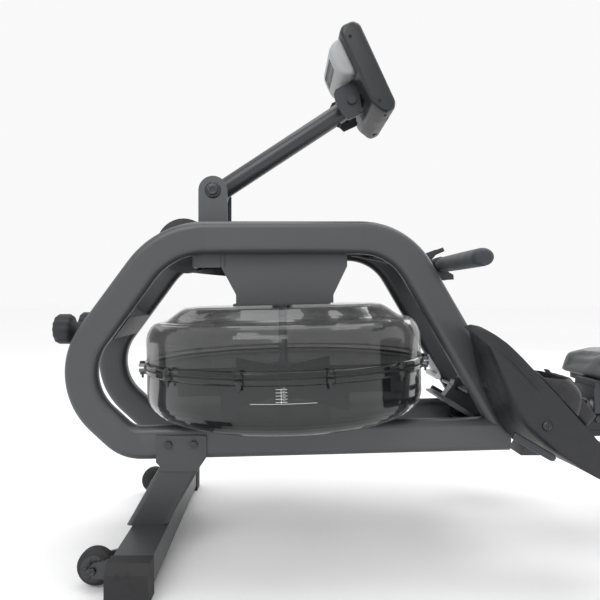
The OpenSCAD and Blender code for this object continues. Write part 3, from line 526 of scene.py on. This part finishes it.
def foot_ring(q):
    """Points (u, y, n) round a footplate at station q, y from its middle outwards."""
    ring = []
    for s in np.linspace(-1, 1, 17):
        y = s * (interp(foot_u(q, s * 59), HALF) - 2)
        u = foot_u(q, y)
        rim = min(1.0, (interp(u, TOP) - interp(u, OUTER_LOW)) / 20)
        lift = 2.6 * math.exp(-((abs(s) - 0.9) / 0.055) ** 2) - 1.6 * (1 - abs(s) ** 6)
        ring.append((u, y, interp(u, TOP) - 1.0 + lift * rim))
    for side, low in ((1, OUTER_LOW), (-1, INNER_LOW)):
        flank = []
        u = foot_u(q, side * 57)
        top, half = interp(u, TOP), interp(u, HALF)
        deep = max(top - interp(u, low), 2.0)
        rim = min(1.0, deep / 20)
        for d in FLANK_AT:
            t = d / 30 if deep < 30 else (d / deep if d <= 26 else 1 - (30 - d) / 4 * (1 - 26 / deep))
            bead = sum(BEAD_H * math.exp(-((t * deep - at) / BEAD_R) ** 2) for at in BEAD_AT)
            bead *= rim * max(0.0, min(1.0, (u + 44) / 6, (58 - u) / 6))
            flank.append((u, side * (half - 2 - 6 * t ** 1.6 * rim + bead), top - 1 - t * (deep - 1)))
        if side > 0:
            ring += flank
            base = flank[-1]
        else:
            for k in (1, 2, 3, 4):
                w = k / 5
                e = flank[-1]
                ring.append(tuple(base[i] * (1 - w) + e[i] * w for i in range(3)))
            ring += flank[::-1]
    return ring


stations = [0, 0.004, 0.012, 0.025, 0.04, 0.06] + list(np.linspace(0.08, 0.96, 34)) + [0.975, 0.985,
    0.994, 1.0]
for name, side in SIDES:
    yc = side * FOOT_Y
    rings = [[(u, yc + side * y, n) for u, y, n in foot_ring(q)] for q in stations]
    v, f = loft(rings)
    build("footplate_" + name, v, f, "foot", "frame", [name + "_footplate"], ON_FOOT)
    # Raised tread bars on the foot surface
    bars = [slab(u, u + 5, yc - 40, yc + 40, -4, -1.1) for u in range(-40, 30, 14)]
    v, f = join(*bars)
    build("foot_tread_" + name, v, f, "rubber", "frame", frame_of=ON_FOOT, bevel=1.0)
    # Adjusting bar with its round end, and the screw on the flank
    d = Vector((69, 0, 21)).normalized()
    rings = []
    for s, r in [(-1, 2), (0, 5), (1.5, 5.7), (64, 5.7), (68, 5.2), (71, 3.4), (71.8, 1)]:
        o = Vector((76, side * 227, -88)) + d * s
        up = Vector((-d.z, 0, d.x))
        rings.append([tuple(o + up * (r * math.cos(t)) + Vector((0, r * math.sin(t), 0)))
                      for t in np.linspace(0, 2 * math.pi, 25)[:-1]])
    v, f = loft(rings)
    build("adjusting_bar_" + name, v, f, "dark", "frame", frame_of=ON_FOOT)
    a = head(100, side * 229, -42, side, r=8, h=4, dome=1)
    b = head(100, side * 232, -42, side, r=4.5, h=2.5)
    v, f = join(a, b)
    build("foot_screw_" + name, v, f, "bolt", "frame", frame_of=ON_FOOT)

# ---- Heel cups and foot straps --------------------------------------------

cup_rings = []
for u in [34, 36, 42, 52, 60, 68, 76, 86, 98, 110, 122, 132, 138, 142, 144.5, 146]:
    wall = interp(u, [(34, 4.4), (52, 4.6), (60, 8), (74, 18), (84, 23), (112, 24.2), (140, 24.2), (146, 22)])
    end = interp(u, [(34, 0.0), (136, 0.0), (141, 1.0), (146, 1.0)])
    lip = interp(u, [(34, 44), (38, 48.5), (50, 50), (132, 50), (142, 47), (146, 42)])
    ring = []
    outer = [(-lip, 0.5), (-lip - 0.0, wall * 0.5), (-lip + 0.4, wall - 1.2), (-lip + 2.2, wall)]
    for y, n in outer:
        ring.append((y, n))
    floor_n = 4.4 + (wall - 4.4) * end
    inner = [(-lip + 4.6, wall - 1.0), (-lip + 5.2, floor_n + (wall - floor_n) * 0.5),
        (-lip + 7, floor_n + 0.8),
             (-lip + 12, floor_n)]
    ring += inner + [(y, floor_n) for y in (-22, -8, 8, 22)]
    ring += [(-y, n) for y, n in reversed(inner)] + [(-y, n) for y, n in reversed(outer)]
    ring += [(y, 0.45) for y in (lip - 6, 20, 0, -20, -lip + 6)]
    cup_rings.append((u, ring))
for name, side in SIDES:
    rings = [[(u, side * 176.0 + y, n) for y, n in ring] for u, ring in cup_rings]
    v, f = loft(rings)
    o = build("heel_cup_shell_" + name, v, f, "heel", "cup_" + name, [name + "_heel_cup"],
        ON_FOOT,
              levels=1)
    ribs = [slab(u, u + 3, side * 176 - 34, side * 176 + 34, 4.2, 5.4) for u in range(48, 136, 11)]
    v, f = join(*ribs)
    build("heel_grip_" + name, v, f, "rubber", "cup_" + name, frame_of=ON_FOOT, bevel=0.5)


def band(path, u0, u1, thick, wave=0.0):
    """A flat band across the foot: path is (y, n) of its middle, u0 to u1 its width."""
    pts = np.array(path, float)
    seg = np.r_[0, np.cumsum(np.linalg.norm(np.diff(pts, axis=0), axis=1))]
    at = np.linspace(0, seg[-1], 61)
    line = np.c_[np.interp(at, seg, pts[:, 0]), np.interp(at, seg, pts[:, 1])]
    for _ in range(6):
        line[1:-1] = (line[:-2] + 2 * line[1:-1] + line[2:]) / 4
    d = np.gradient(line, axis=0)
    d /= np.linalg.norm(d, axis=1)[:, None]
    nrm = np.c_[-d[:, 1], d[:, 0]]
    rings = []
    for k, (p, q) in enumerate(zip(line, nrm)):
        ring = []
        for u, h in [(u0, 0), (u0 + 0.6, 1), (u0 + 3, 1), ((u0 + u1) / 2, 1.12), (u1 - 3, 1),
                (u1 - 0.6, 1), (u1, 0),
                     (u1 - 0.6, -1), (u0 + 0.6, -1)]:
            sag = wave * math.sin(k * 0.35 + u * 0.05)
            w = p + q * (h * thick / 2 + sag)
            ring.append((u, w[0], w[1]))
        rings.append(ring)
    return loft(rings)


def strap_sheet(side):
    """A foot strap: wide at its two feet, narrow over the instep."""
    path = [(120.6, 0.4), (120.8, 12), (121.4, 22), (124.5, 27.5), (131, 31.6), (142, 32.6), (176, 32.9),
        (210, 32.6),
            (221, 31.6), (227.5, 27.5), (230.6, 22), (231.2, 12), (231.4, 0.4)]
    pts = np.array(path, float)
    seg = np.r_[0, np.cumsum(np.linalg.norm(np.diff(pts, axis=0), axis=1))]
    at = np.linspace(0, seg[-1], 81)
    line = np.c_[np.interp(at, seg, pts[:, 0]), np.interp(at, seg, pts[:, 1])]
    for _ in range(8):
        line[1:-1] = (line[:-2] + 2 * line[1:-1] + line[2:]) / 4
    d = np.gradient(line, axis=0)
    d /= np.linalg.norm(d, axis=1)[:, None]
    rings = []
    for k, (p, t) in enumerate(zip(line, d)):
        h = min(1.0, max(0.0, p[1] / 32.5))
        u0, u1 = 38 + 38 * h ** 0.85, 119 - 25 * h ** 1.3
        out, back = [], []
        for c in np.linspace(0, 1, 9):
            u = u0 + (u1 - u0) * c
            thick = 1.1 if 0 < c < 1 else 0.5
            if 0.1 < c < 0.2 or 0.8 < c < 0.9:
                thick = 0.85
            sag = 0.25 * math.sin(k * 0.3 + u * 0.06)
            out.append((u, side * (p[0] - t[1] * (thick + sag)), p[1] + t[0] * (thick + sag)))
            back.append((u, side * (p[0] - t[1] * (sag - thick)), p[1] + t[0] * (sag - thick)))
        rings.append(out + back[::-1])
    return loft(rings)


for name, side in SIDES:
    v, f = strap_sheet(side)
    build("foot_strap_" + name, v, f, "strap", "frame", ["foot_straps"] if side < 0 else (),
        ON_FOOT)
    # Overlapping tongue of the strap and its moulded buckle
    v, f = band([(side * y, n) for y, n in [(150, 35.2), (176, 35.5), (205, 35.2), (214, 34.4)]], 77, 92,
        1.6, 0.12)
    build("foot_strap_tongue_" + name, v, f, "strap", "frame", frame_of=ON_FOOT)
    y = side * 144
    frame_bits = [slab(74, 95, y - 7, y - 4, 33.6, 36.6), slab(74, 95, y + 4, y + 7, 33.6, 36.6),
                  slab(72.5, 76, y - 7, y + 7, 33.4, 36.8), slab(93.5, 97, y - 7, y + 7, 33.4, 36.8)]
    v, f = join(*frame_bits)
    build("foot_buckle_" + name, v, f, "plastic", "frame", frame_of=ON_FOOT, bevel=0.9)

# ---- Console ---------------------------------------------------------------

BACK, FRONT, LOW_H, TOP_H = 18.0, 57.0, -57.0, 113.0


def console_ring(y, inset):
    """Side outline of the console's case at y, drawn in by inset near its ends."""
    pts = []
    b, f, lo, hi = BACK + inset * 0.8, FRONT - inset, LOW_H + inset, TOP_H - inset
    corners = [(b, lo + 26, 10), (b + 13, lo, 14), (f - 7, lo, 9), (f, lo + 10, 9), (f, hi - 10, 9),
        (f - 9, hi, 9),
               (b + 9, hi, 9), (b, hi - 9, 9)]
    n = len(corners)
    for i in range(n):
        p = Vector(corners[i][:2])
        a = (Vector(corners[i - 1][:2]) - p)
        c = (Vector(corners[(i + 1) % n][:2]) - p)
        r = min(corners[i][2] * 0.55, a.length * 0.45, c.length * 0.45)
        s, e = p + a.normalized() * r, p + c.normalized() * r
        for t in (0, 0.25, 0.5, 0.75, 1):
            q = s * (1 - t) ** 2 + p * 2 * t * (1 - t) + e * t * t
            pts.append((q.x, y, q.y))
    return pts


ys = [(-90, 8), (-89.4, 4.6), (-87.6, 2.2), (-84.5, 0.7), (-80, 0), (-40, 0), (0, 0), (40, 0), (80, 0),
    (84.5, 0.7),
      (87.6, 2.2), (89.4, 4.6), (90, 8)]
v, f = loft([console_ring(y, i) for y, i in ys])
case = build("console_case", v, f, "console", "console", ["console_body"], ON_CONSOLE)
case.data.materials.append(M["under"])
for k, face in enumerate(case.data.polygons):
    if k < 40 * (len(ys) - 1) and 4 <= k % 40 <= 9 and 3 <= k // 40 < len(ys) - 4:
        face.material_index = 1
# Bezel, window and printed generic marks on the face
rim = []
for dx, g in ((0.0, 0.0), (1.2, 1.2), (1.2, 5.0), (-0.6, 6.2)):
    ring = []
    for i in range(4):
        cy, cz = ((-1, -1), (1, -1), (1, 1), (-1, 1))[i]
        for t in np.linspace(0, 90, 6):
            a = math.radians(t + (180, 270, 0, 90)[i])
            ring.append((FRONT + dx, cy * (70 - g) + 6 * math.cos(a), 42 + cz * (50 - g) + 6 * math.sin(a)))
    rim.append(ring)
v, f = loft(rim, caps=False)
build("console_bezel", v, f, "plastic", "console", frame_of=ON_CONSOLE)
v, f = loft([[(FRONT + 0.15, y, z) for y, z in ((-69, -7), (69, -7), (69, 91), (-69, 91))],
             [(FRONT + 0.4, y, z) for y, z in ((-69, -7), (69, -7), (69, 91), (-69, 91))]])
build("console_window", v, f, "screen", "console", ["console_screen"], ON_CONSOLE)
lines = [slab(FRONT + 0.4, FRONT + 0.55, -62, 62, z, z + 0.7) for z in (16, 40, 64)]
lines += [slab(FRONT + 0.4, FRONT + 0.55, y, y + 0.7, -2, 64) for y in (-21, 20)]
# Plain seven-segment digits, as such a display shows
segs = {"0": "abcdef", "1": "bc", "2": "abged", "3": "abgcd", "4": "fgbc", "8": "abcdefg"}


def digit(ch, y, z, s):
    bars = {"a": (0, 2, 1, 2), "b": (1, 1, 1, 2), "c": (1, 0, 1, 1), "d": (0, 0, 1, 0), "e": (0, 0, 0, 1),
            "f": (0, 1, 0, 2), "g": (0, 1, 1, 1)}
    out = []
    for k in segs[ch]:
        a, b, c, d = bars[k]
        y0, y1 = y + min(a, c) * s * 0.55, y + max(a, c) * s * 0.55
        z0, z1 = z + min(b, d) * s * 0.5, z + max(b, d) * s * 0.5
        w = s * 0.07
        if y0 == y1:
            out.append(slab(FRONT + 0.4, FRONT + 0.55, y0 - w, y0 + w, z0 + w, z1 - w))
        else:
            out.append(slab(FRONT + 0.4, FRONT + 0.55, y0 + w, y1 - w, z0 - w, z0 + w))
    return out


for text, y, z, s in (("0000", -26, 70, 15), ("00", -52, 44, 11), ("00", -8, 44, 11), ("00", 34, 44, 11),
                      ("00", -52, 20, 11), ("00", -8, 20, 11), ("00", 34, 20, 11)):
    for i, ch in enumerate(text):
        lines += digit(ch, y + i * s * 0.95, z, s)
v, f = join(*lines)
build("console_digits", v, f, "light", "console", frame_of=ON_CONSOLE)
# Raised rear housing in light grey with cooling slots, cable socket, screws and lower sockets; the slots and
# sockets are thin dark strips laid on the case where openings would be: painted shade
rear_rings = []
for y, k in ((-70, 0.55), (-68, 0.85), (-64, 0.97), (-58, 1), (-20, 1), (20, 1), (58, 1), (64, 0.97),
        (68, 0.85), (70, 0.55)):
    pts = [(18.5, 32), (10, 34.5), (-0.5, 39), (-5.6, 46), (-7.6, 54), (-8, 70), (-7.4, 84), (-3.5, 93.5),
        (4, 99), (12, 101.4),
           (18.5, 102)]
    rear_rings.append([(18.5 + (x - 18.5) * k, y, 67 + (z - 67) * (0.5 + 0.5 * k)) for x, z in pts])
v, f = loft(rear_rings)
build("console_hump", v, f, "light", "console", ["console_rear"], ON_CONSOLE)
# cooling slots: thin dark strips on the housing, not cut openings: painted shade
parts = [slab(-8.4, -7.6, y, y + 2.2, 60, 82) for y in range(-44, 45, 8)]
v, f = join(*parts)
build("console_slot_shade", v, f, "gasket", "console", frame_of=ON_CONSOLE)
# lower sockets: thin dark strips on the underside: painted shade of the openings
parts = [slab(33, 38, -70, -62, -57.5, -56.6), slab(45, 47, -40, -22, -57.5, -56.6),
    slab(33, 41, 50, 62, -57.5, -56.6)]
v, f = join(*parts)
build("console_socket_shade", v, f, "gasket", "console", frame_of=ON_CONSOLE)
parts = [head(30, s * 90, z, s, r=3.4, h=1.0, dome=1) for s in (-1, 1) for z in (-34, 88)]
v, f = join(*parts)
build("console_screws", v, f, "gasket", "console", frame_of=ON_CONSOLE)
for name, y in (("left", -44), ("middle", 0), ("right", 44)):
    rings = []
    for x, g in ((51, 0), (57.0, 0), (58.2, 0.4), (58.8, 1.4), (58.9, 3.0)):
        ring = []
        for i in range(4):
            cy, cz = ((-1, -1), (1, -1), (1, 1), (-1, 1))[i]
            for t in np.linspace(0, 90, 5):
                a = math.radians(t + (180, 270, 0, 90)[i])
                ring.append((x, y + cy * 9.5 + (3.3 - g) * math.cos(a),
                    -30 + cz * 3.5 + (3.3 - g) * math.sin(a)))
        rings.append(ring)
    v, f = loft(rings)
    build("push_button_" + name, v, f, "button", "button_" + name, [name + "_button"], ON_CONSOLE)

# ---- Mast ------------------------------------------------------------------

ON_MAST = Matrix.Translation(P(-127.5, 0, 632)) @ Matrix.Rotation(math.radians(-33.3), 4, "Y")
# Cable that leaves the mast and goes into the console, held in a rubber grommet
v, f = lathe([(262, 2.0), (262, 7.5), (264, 9), (267, 9), (268.5, 7), (268.5, 3)], (0, 0, -13), axis="X",
    n=28)
build("cable_grommet", v, f, "rubber", "mast", frame_of=ON_MAST)
for name, side in SIDES:
    v, f = head(-127.5, side * 47.1, 632, side, r=10.5, h=7, dome=0)
    build("pivot_cap_" + name, v, f, "dark", "frame")
    v, f = lathe([(side * 47.05, 14.5), (side * 48.6, 14.2), (side * 48.9, 9)], (-127.5, 0, 632), n=40)
    build("pivot_washer_" + name, v, f, "bolt", "frame")

# ---- Tank details ----------------------------------------------------------


def wall_strip(x0, x1, z0, z1):
    """A printed strip on the near side of the tank's wall, x0 to x1 measured round it."""
    low, high = [], []
    for x in np.linspace(x0, x1, 12):
        t = -math.pi / 2 + x / 251
        low.append((251.25 * math.cos(t), 251.25 * math.sin(t), z0))
        high.append((251.25 * math.cos(t), 251.25 * math.sin(t), z1))
    return low + high, [(j, j + 1, 13 + j, 12 + j) for j in range(11)]


ticks = [wall_strip(-52, 46, -36.6, -36), wall_strip(-6.2, -5.6, -36, -14)]
for i in range(5):
    ticks.append(wall_strip(-14, 3, -34 + i * 4.6, -33.4 + i * 4.6))
    ticks.append(wall_strip(-4, 0, -31.7 + i * 4.6, -31.3 + i * 4.6))
v, f = join(*ticks)
build("level_ticks", v, f, "tick", "frame", frame_of=ON_TANK)
# Moulded rings that stiffen the flange, just above and below the gasket
for name, z in (("upper", 7.4), ("lower", -7.4)):
    s = 1 if z > 0 else -1
    v, f = lathe([(z, 250.4), (z + s * 3.5, 250.9), (z + s * 3.5, 252.4), (z + s * 1, 254.6), (z, 255.2)],
                 (0, 0, 0), axis="Z", n=96)
    faces = grid_faces(5, 96)
    build("flange_fillet_" + name, v, faces, "tank", "frame", frame_of=ON_TANK)

# ---- Seat ------------------------------------------------------------------

SEAT_X, SEAT_LOW, SEAT_TOP = 694.0, 287.0, 333.5
XS, YS, CORNER = 120.0, 150.0, 50.0


def seat_outline(inset):
    """Points round the seat, drawn in by inset: a rectangle with round corners."""
    hx, hy, r = XS - inset, YS - inset, max(CORNER - inset, 6.0)
    pts = []
    for sx, sy, a0 in ((-1, -1, 180), (1, -1, 270), (1, 1, 0), (-1, 1, 90)):
        cx, cy = sx * (hx - r), sy * (hy - r)
        for t in np.linspace(0, 90, 10):
            a = math.radians(a0 + t)
            pts.append((cx + r * math.cos(a), cy + r * math.sin(a)))
        nx, ny = {(-1, -1): (1, -1), (1, -1): (1, 1), (1, 1): (-1, 1), (-1, 1): (-1, -1)}[(sx, sy)]
        end = (nx * (hx - r) + (r if (sx, sy) == (1, -1) else -r if (sx, sy) == (-1, 1) else 0),
               ny * (hy - r) + (-r if (sx, sy) == (-1, -1) else r if (sx, sy) == (1, 1) else 0))
        last = pts[-1]
        for k in range(1, 9):
            w = k / 9
            pts.append((last[0] * (1 - w) + end[0] * w, last[1] * (1 - w) + end[1] * w))
    return pts


def seat_top(x, y):
    """Height of the seat's top: a centre tongue, thigh reliefs in front, hollows for the hips, a rear lip."""
    front = 325.5 + 7.5 * math.exp(-(y / 26) ** 2) + 2.5 / (1 + math.exp((96 - abs(y)) / 8))
    w = min(1.0, max(0.0, (x + XS) / 85))
    z = front + (SEAT_TOP - front) * w * w * (3 - 2 * w)
    z -= 5.0 * math.exp(-((abs(y) - 56) / 34) ** 2 - ((x - 22) / 58) ** 2)
    return z - 2.0 * math.exp(-(y / 12) ** 2 - ((x - 40) / 70) ** 2)


def seat_mesh(inset, lift):
    rings = []
    for d, z in ((9, 0.0), (3, 0.6), (0.6, 3.0), (0, 7), (1.4, 15), (3.2, 24), (5.0, 31)):
        rings.append([(x, y, SEAT_LOW + z * (seat_top(x, y) - SEAT_LOW) / 46) for x,
            y in seat_outline(d + inset)])
    for d, fall in ((7, 4.6), (10, 1.6), (15, 0.3), (26, 0.0), (42, 0.0), (60, 0.0), (80, 0.0),
            (100, 0.0), (112, 0.0)):
        rings.append([(x, y, seat_top(x, y) - fall + lift) for x, y in seat_outline(d + inset)])
    return loft(rings)


def puff(o, swell, pressure):
    """Cloth simulation of a padded cover: remesh, inflate, cap the movement, apply."""
    bpy.context.view_layer.objects.active = o
    for other in bpy.context.selected_objects:
        other.select_set(False)
    o.select_set(True)
    r = o.modifiers.new("Remesh", "REMESH")
    r.mode, r.voxel_size = "VOXEL", 0.005
    bpy.ops.object.modifier_apply(modifier=r.name)
    before = np.array([v.co[:] for v in o.data.vertices])
    base = before[:, 2].min()
    pin = o.vertex_groups.new(name="pin")
    for i, c in enumerate(before):
        if c[2] < base + 0.004:
            pin.add([i], 1.0, "REPLACE")
    c = o.modifiers.new("Cloth", "CLOTH")
    c.settings.quality = 6
    c.settings.mass = 0.3
    c.settings.tension_stiffness = c.settings.compression_stiffness = 18
    c.settings.bending_stiffness = 1.2
    c.settings.use_pressure = True
    c.settings.uniform_pressure_force = pressure
    c.settings.vertex_group_mass = "pin"
    c.settings.effector_weights.gravity = 0
    c.collision_settings.use_collision = False
    c.point_cache.frame_start, c.point_cache.frame_end = 1, 20
    scene = bpy.context.scene
    for k in range(1, 21):
        scene.frame_set(k)
    dep = bpy.context.evaluated_depsgraph_get()
    ev = o.evaluated_get(dep).data
    after = np.array([v.co[:] for v in ev.vertices])
    move = after - before
    size = np.linalg.norm(move, axis=1)
    keep = np.minimum(1.0, swell / np.maximum(size, 1e-9))
    after = before + move * keep[:, None]
    o.modifiers.remove(c)
    o.vertex_groups.clear()
    o.data.vertices.foreach_set("co", after.astype(np.float32).ravel())
    o.data.update()
    scene.frame_set(1)


v, f = seat_mesh(3.0, -2.0)
pad = build("seat_pad", [(x + SEAT_X, y, z) for x, y, z in v], f, "seat", "seat",
    ["seat_cushion"])
puff(pad, 0.006, 3.0)
co = np.array([v.co[:] for v in pad.data.vertices])
lo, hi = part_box("seat_cushion")
co[:, 2] = np.clip(co[:, 2], lo[2], hi[2] + 0.002)
pad.data.vertices.foreach_set("co", co.astype(np.float32).ravel())
pad.data.polygons.foreach_set("use_smooth", [True] * len(pad.data.polygons))
sub = pad.modifiers.new("Subdivision", "SUBSURF")
sub.levels = sub.render_levels = 1

# ---- Straps, cord and wheels ----------------------------------------------


def sweep(path, section):
    """Rings of a section (across, up) carried along points in the XZ plane or in space."""
    rings, n = [], len(path)
    for i, p in enumerate(path):
        d = (path[min(i + 1, n - 1)] - path[max(i - 1, 0)]).normalized()
        side = d.cross(Vector((0, 0, 1)))
        side = side.normalized() if side.length > 1e-4 else Vector((0, 1, 0))
        up = side.cross(d)
        rings.append([tuple(p + side * a + up * b) for a, b in section])
    return loft(rings)


# Recoil cord: where it turns, its half spacing and its height, and the place of a transport wheel
CORD_TURN_X = 186
CORD_Y = 17.5
CORD_Z = 520
WHEEL_X = -286
WHEEL_Z = 32
cord_path = [Vector((4, CORD_Y, CORD_Z))] + [Vector((x, CORD_Y, CORD_Z)) for x in range(20, 184, 17)]
cord_path += [Vector((CORD_TURN_X + CORD_Y * math.sin(t), CORD_Y * math.cos(t), CORD_Z))
    for t in np.linspace(0, math.pi, 17)]
cord_path += [Vector((x, -CORD_Y, CORD_Z)) for x in range(178, 62, -16)]
v, f = sweep(cord_path, [(3.9 * math.cos(a), 3.9 * math.sin(a))
    for a in np.linspace(0, 2 * math.pi, 17)[:-1]])
build("recoil_bungee", v, f, "cord", "frame", ["recoil_cord"])

for name, side in SIDES:
    prof = [(193, 8), (193, 21), (194.5, 22.6), (196, 22.8), (196.5, 26), (198, 27.6), (203.4, 28),
        (204.4, 26.8), (205.6, 26.8),
            (206.6, 28), (212, 27.6), (213.5, 26), (214, 22.8), (215.5, 22.6), (217, 21), (217, 8)]
    v, f = lathe([(side * a, r) for a, r in prof], (WHEEL_X, 0, WHEEL_Z), n=56)
    build("wheel_tyre_" + name, v, f, "rubber", name + "_wheel", [name + "_transport_wheel"])
    a = lathe([(side * q, r) for q, r in [(217, 20.5), (218.2, 19), (218.2, 11), (217.4, 9)]],
        (WHEEL_X, 0, WHEEL_Z), n=48)
    spokes = []
    for k in range(6):
        t = math.pi * k / 3
        c, s = math.cos(t), math.sin(t)
        pts = [(9, -2), (19, -1.5), (19, 1.5), (9, 2)]
        ring = [(-286 + u * c - w * s, 32 + u * s + w * c) for u, w in pts]
        spokes.append(prism(ring, side * 217.2, side * 218.9))
    v, f = join(a, *spokes)
    build("wheel_hub_" + name, v, f, "plastic", name + "_wheel")
    v, f = head(-286, side * 224.2, 32, side, r=6, h=4)
    build("wheel_nut_" + name, v, f, "bolt", "frame")

# Welding beads where the cross parts meet the loops
for name, side in SIDES:
    y = side * 76.9
    beads = []
    for (x0, z0, x1, z1) in ((-158, 492.5, -158, 513), (-103, 492.5, -103, 513), (334, 219.3, 372, 219.3)):
        a, b = Vector((x0, y, z0)), Vector((x1, y, z1))
        n = 24
        line = [a.lerp(b, i / n) for i in range(n + 1)]
        rings = []
        for i, p in enumerate(line):
            r = 1.7 + 0.35 * math.sin(i * 2.1)
            rings.append([(p.x + (r * math.cos(t) if x0 == x1 else 0), p.y + r * math.sin(t) * 0.9,
                           p.z + (r * math.cos(t) if x0 != x1 else 0))
                               for t in np.linspace(0, 2 * math.pi, 9)[:-1]])
        beads.append(loft(rings))
    v, f = join(*beads)
    build("weld_beads_" + name, v, f, "frame", "frame")

# Rail: guide grooves along both sides drawn as thin dark strips, painted shade in the grooves; scale marks
# left plain
for name, side in SIDES:
    parts = [slab(-258, 1010, side * 30.0 - 0.3, side * 30.0 + 0.3, z, z + 1.2) for z in (-9, 8)]
    v, f = join(*parts)
    build("rail_groove_shade_" + name, v, f, "gasket", "frame", frame_of=ON_RAIL)

# ---- Floor, light and camera ----------------------------------------------

floor_mat = Mat("pale_floor", rough=0.75)
cloud = floor_mat.noise(0.8, 3.0)
dist = floor_mat.node("ShaderNodeVectorMath")
dist.operation = "LENGTH"
floor_mat.t.links.new(floor_mat.co, dist.inputs[0])
# the floor is painted darker within 1.2 m of the world origin, under the machine, and paler out to 7 m:
# painted shade round the machine
far = floor_mat.ramp(dist.outputs["Value"], 1.2, 7.0)
pale = floor_mat.mix(cloud, (0.86, 0.86, 0.865, 1), (0.9, 0.9, 0.905, 1))
floor_mat.color(floor_mat.mix(far, pale, (0.985, 0.985, 0.985, 1)))
me = bpy.data.meshes.new("floor")
me.from_pydata([(-30, -30, 0), (30, -30, 0), (30, 30, 0), (-30, 30, 0)], [], [(0, 1, 2, 3)])
me.materials.append(floor_mat.m)
floor = bpy.data.objects.new("floor", me)
bpy.context.collection.objects.link(floor)
floor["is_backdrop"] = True

world = bpy.data.worlds.new("studio")
bpy.context.scene.world = world
world.use_nodes = True
world.node_tree.nodes["Background"].inputs[0].default_value = (1, 1, 1, 1)
world.node_tree.nodes["Background"].inputs[1].default_value = 0.95


def area(name, loc, aim, size, power):
    d = bpy.data.lights.new(name, "AREA")
    d.shape, d.size, d.size_y, d.energy = "RECTANGLE", size[0], size[1], power
    o = bpy.data.objects.new(name, d)
    o.location = loc
    o.rotation_euler = (Vector(aim) - Vector(loc)).to_track_quat("-Z", "Y").to_euler()
    bpy.context.collection.objects.link(o)


area("key", (-1.6, -2.6, 2.6), (-0.3, 0, 0.4), (2.4, 1.6), 42)
area("top", (0.0, 0.3, 3.0), (0, 0, 0.3), (3.2, 2.0), 46)
area("rear", (1.8, 2.2, 2.0), (0, 0, 0.5), (2.0, 1.6), 26)

bpy.context.scene.view_settings.view_transform = "Standard"
bpy.context.scene.view_settings.look = "None"

cam = bpy.data.cameras.new("camera")
cam.sensor_width = 36
cam.lens = 34.32
cam.shift_x, cam.shift_y = 0.035, -0.005
cam_ob = bpy.data.objects.new("camera", cam)
cam_ob.location = (-0.606, -1.075, 0.440)
cam_ob.rotation_euler = (math.radians(90), 0, 0)
bpy.context.collection.objects.link(cam_ob)
bpy.context.scene.camera = cam_ob

bpy.context.view_layer.update()
lo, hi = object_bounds()
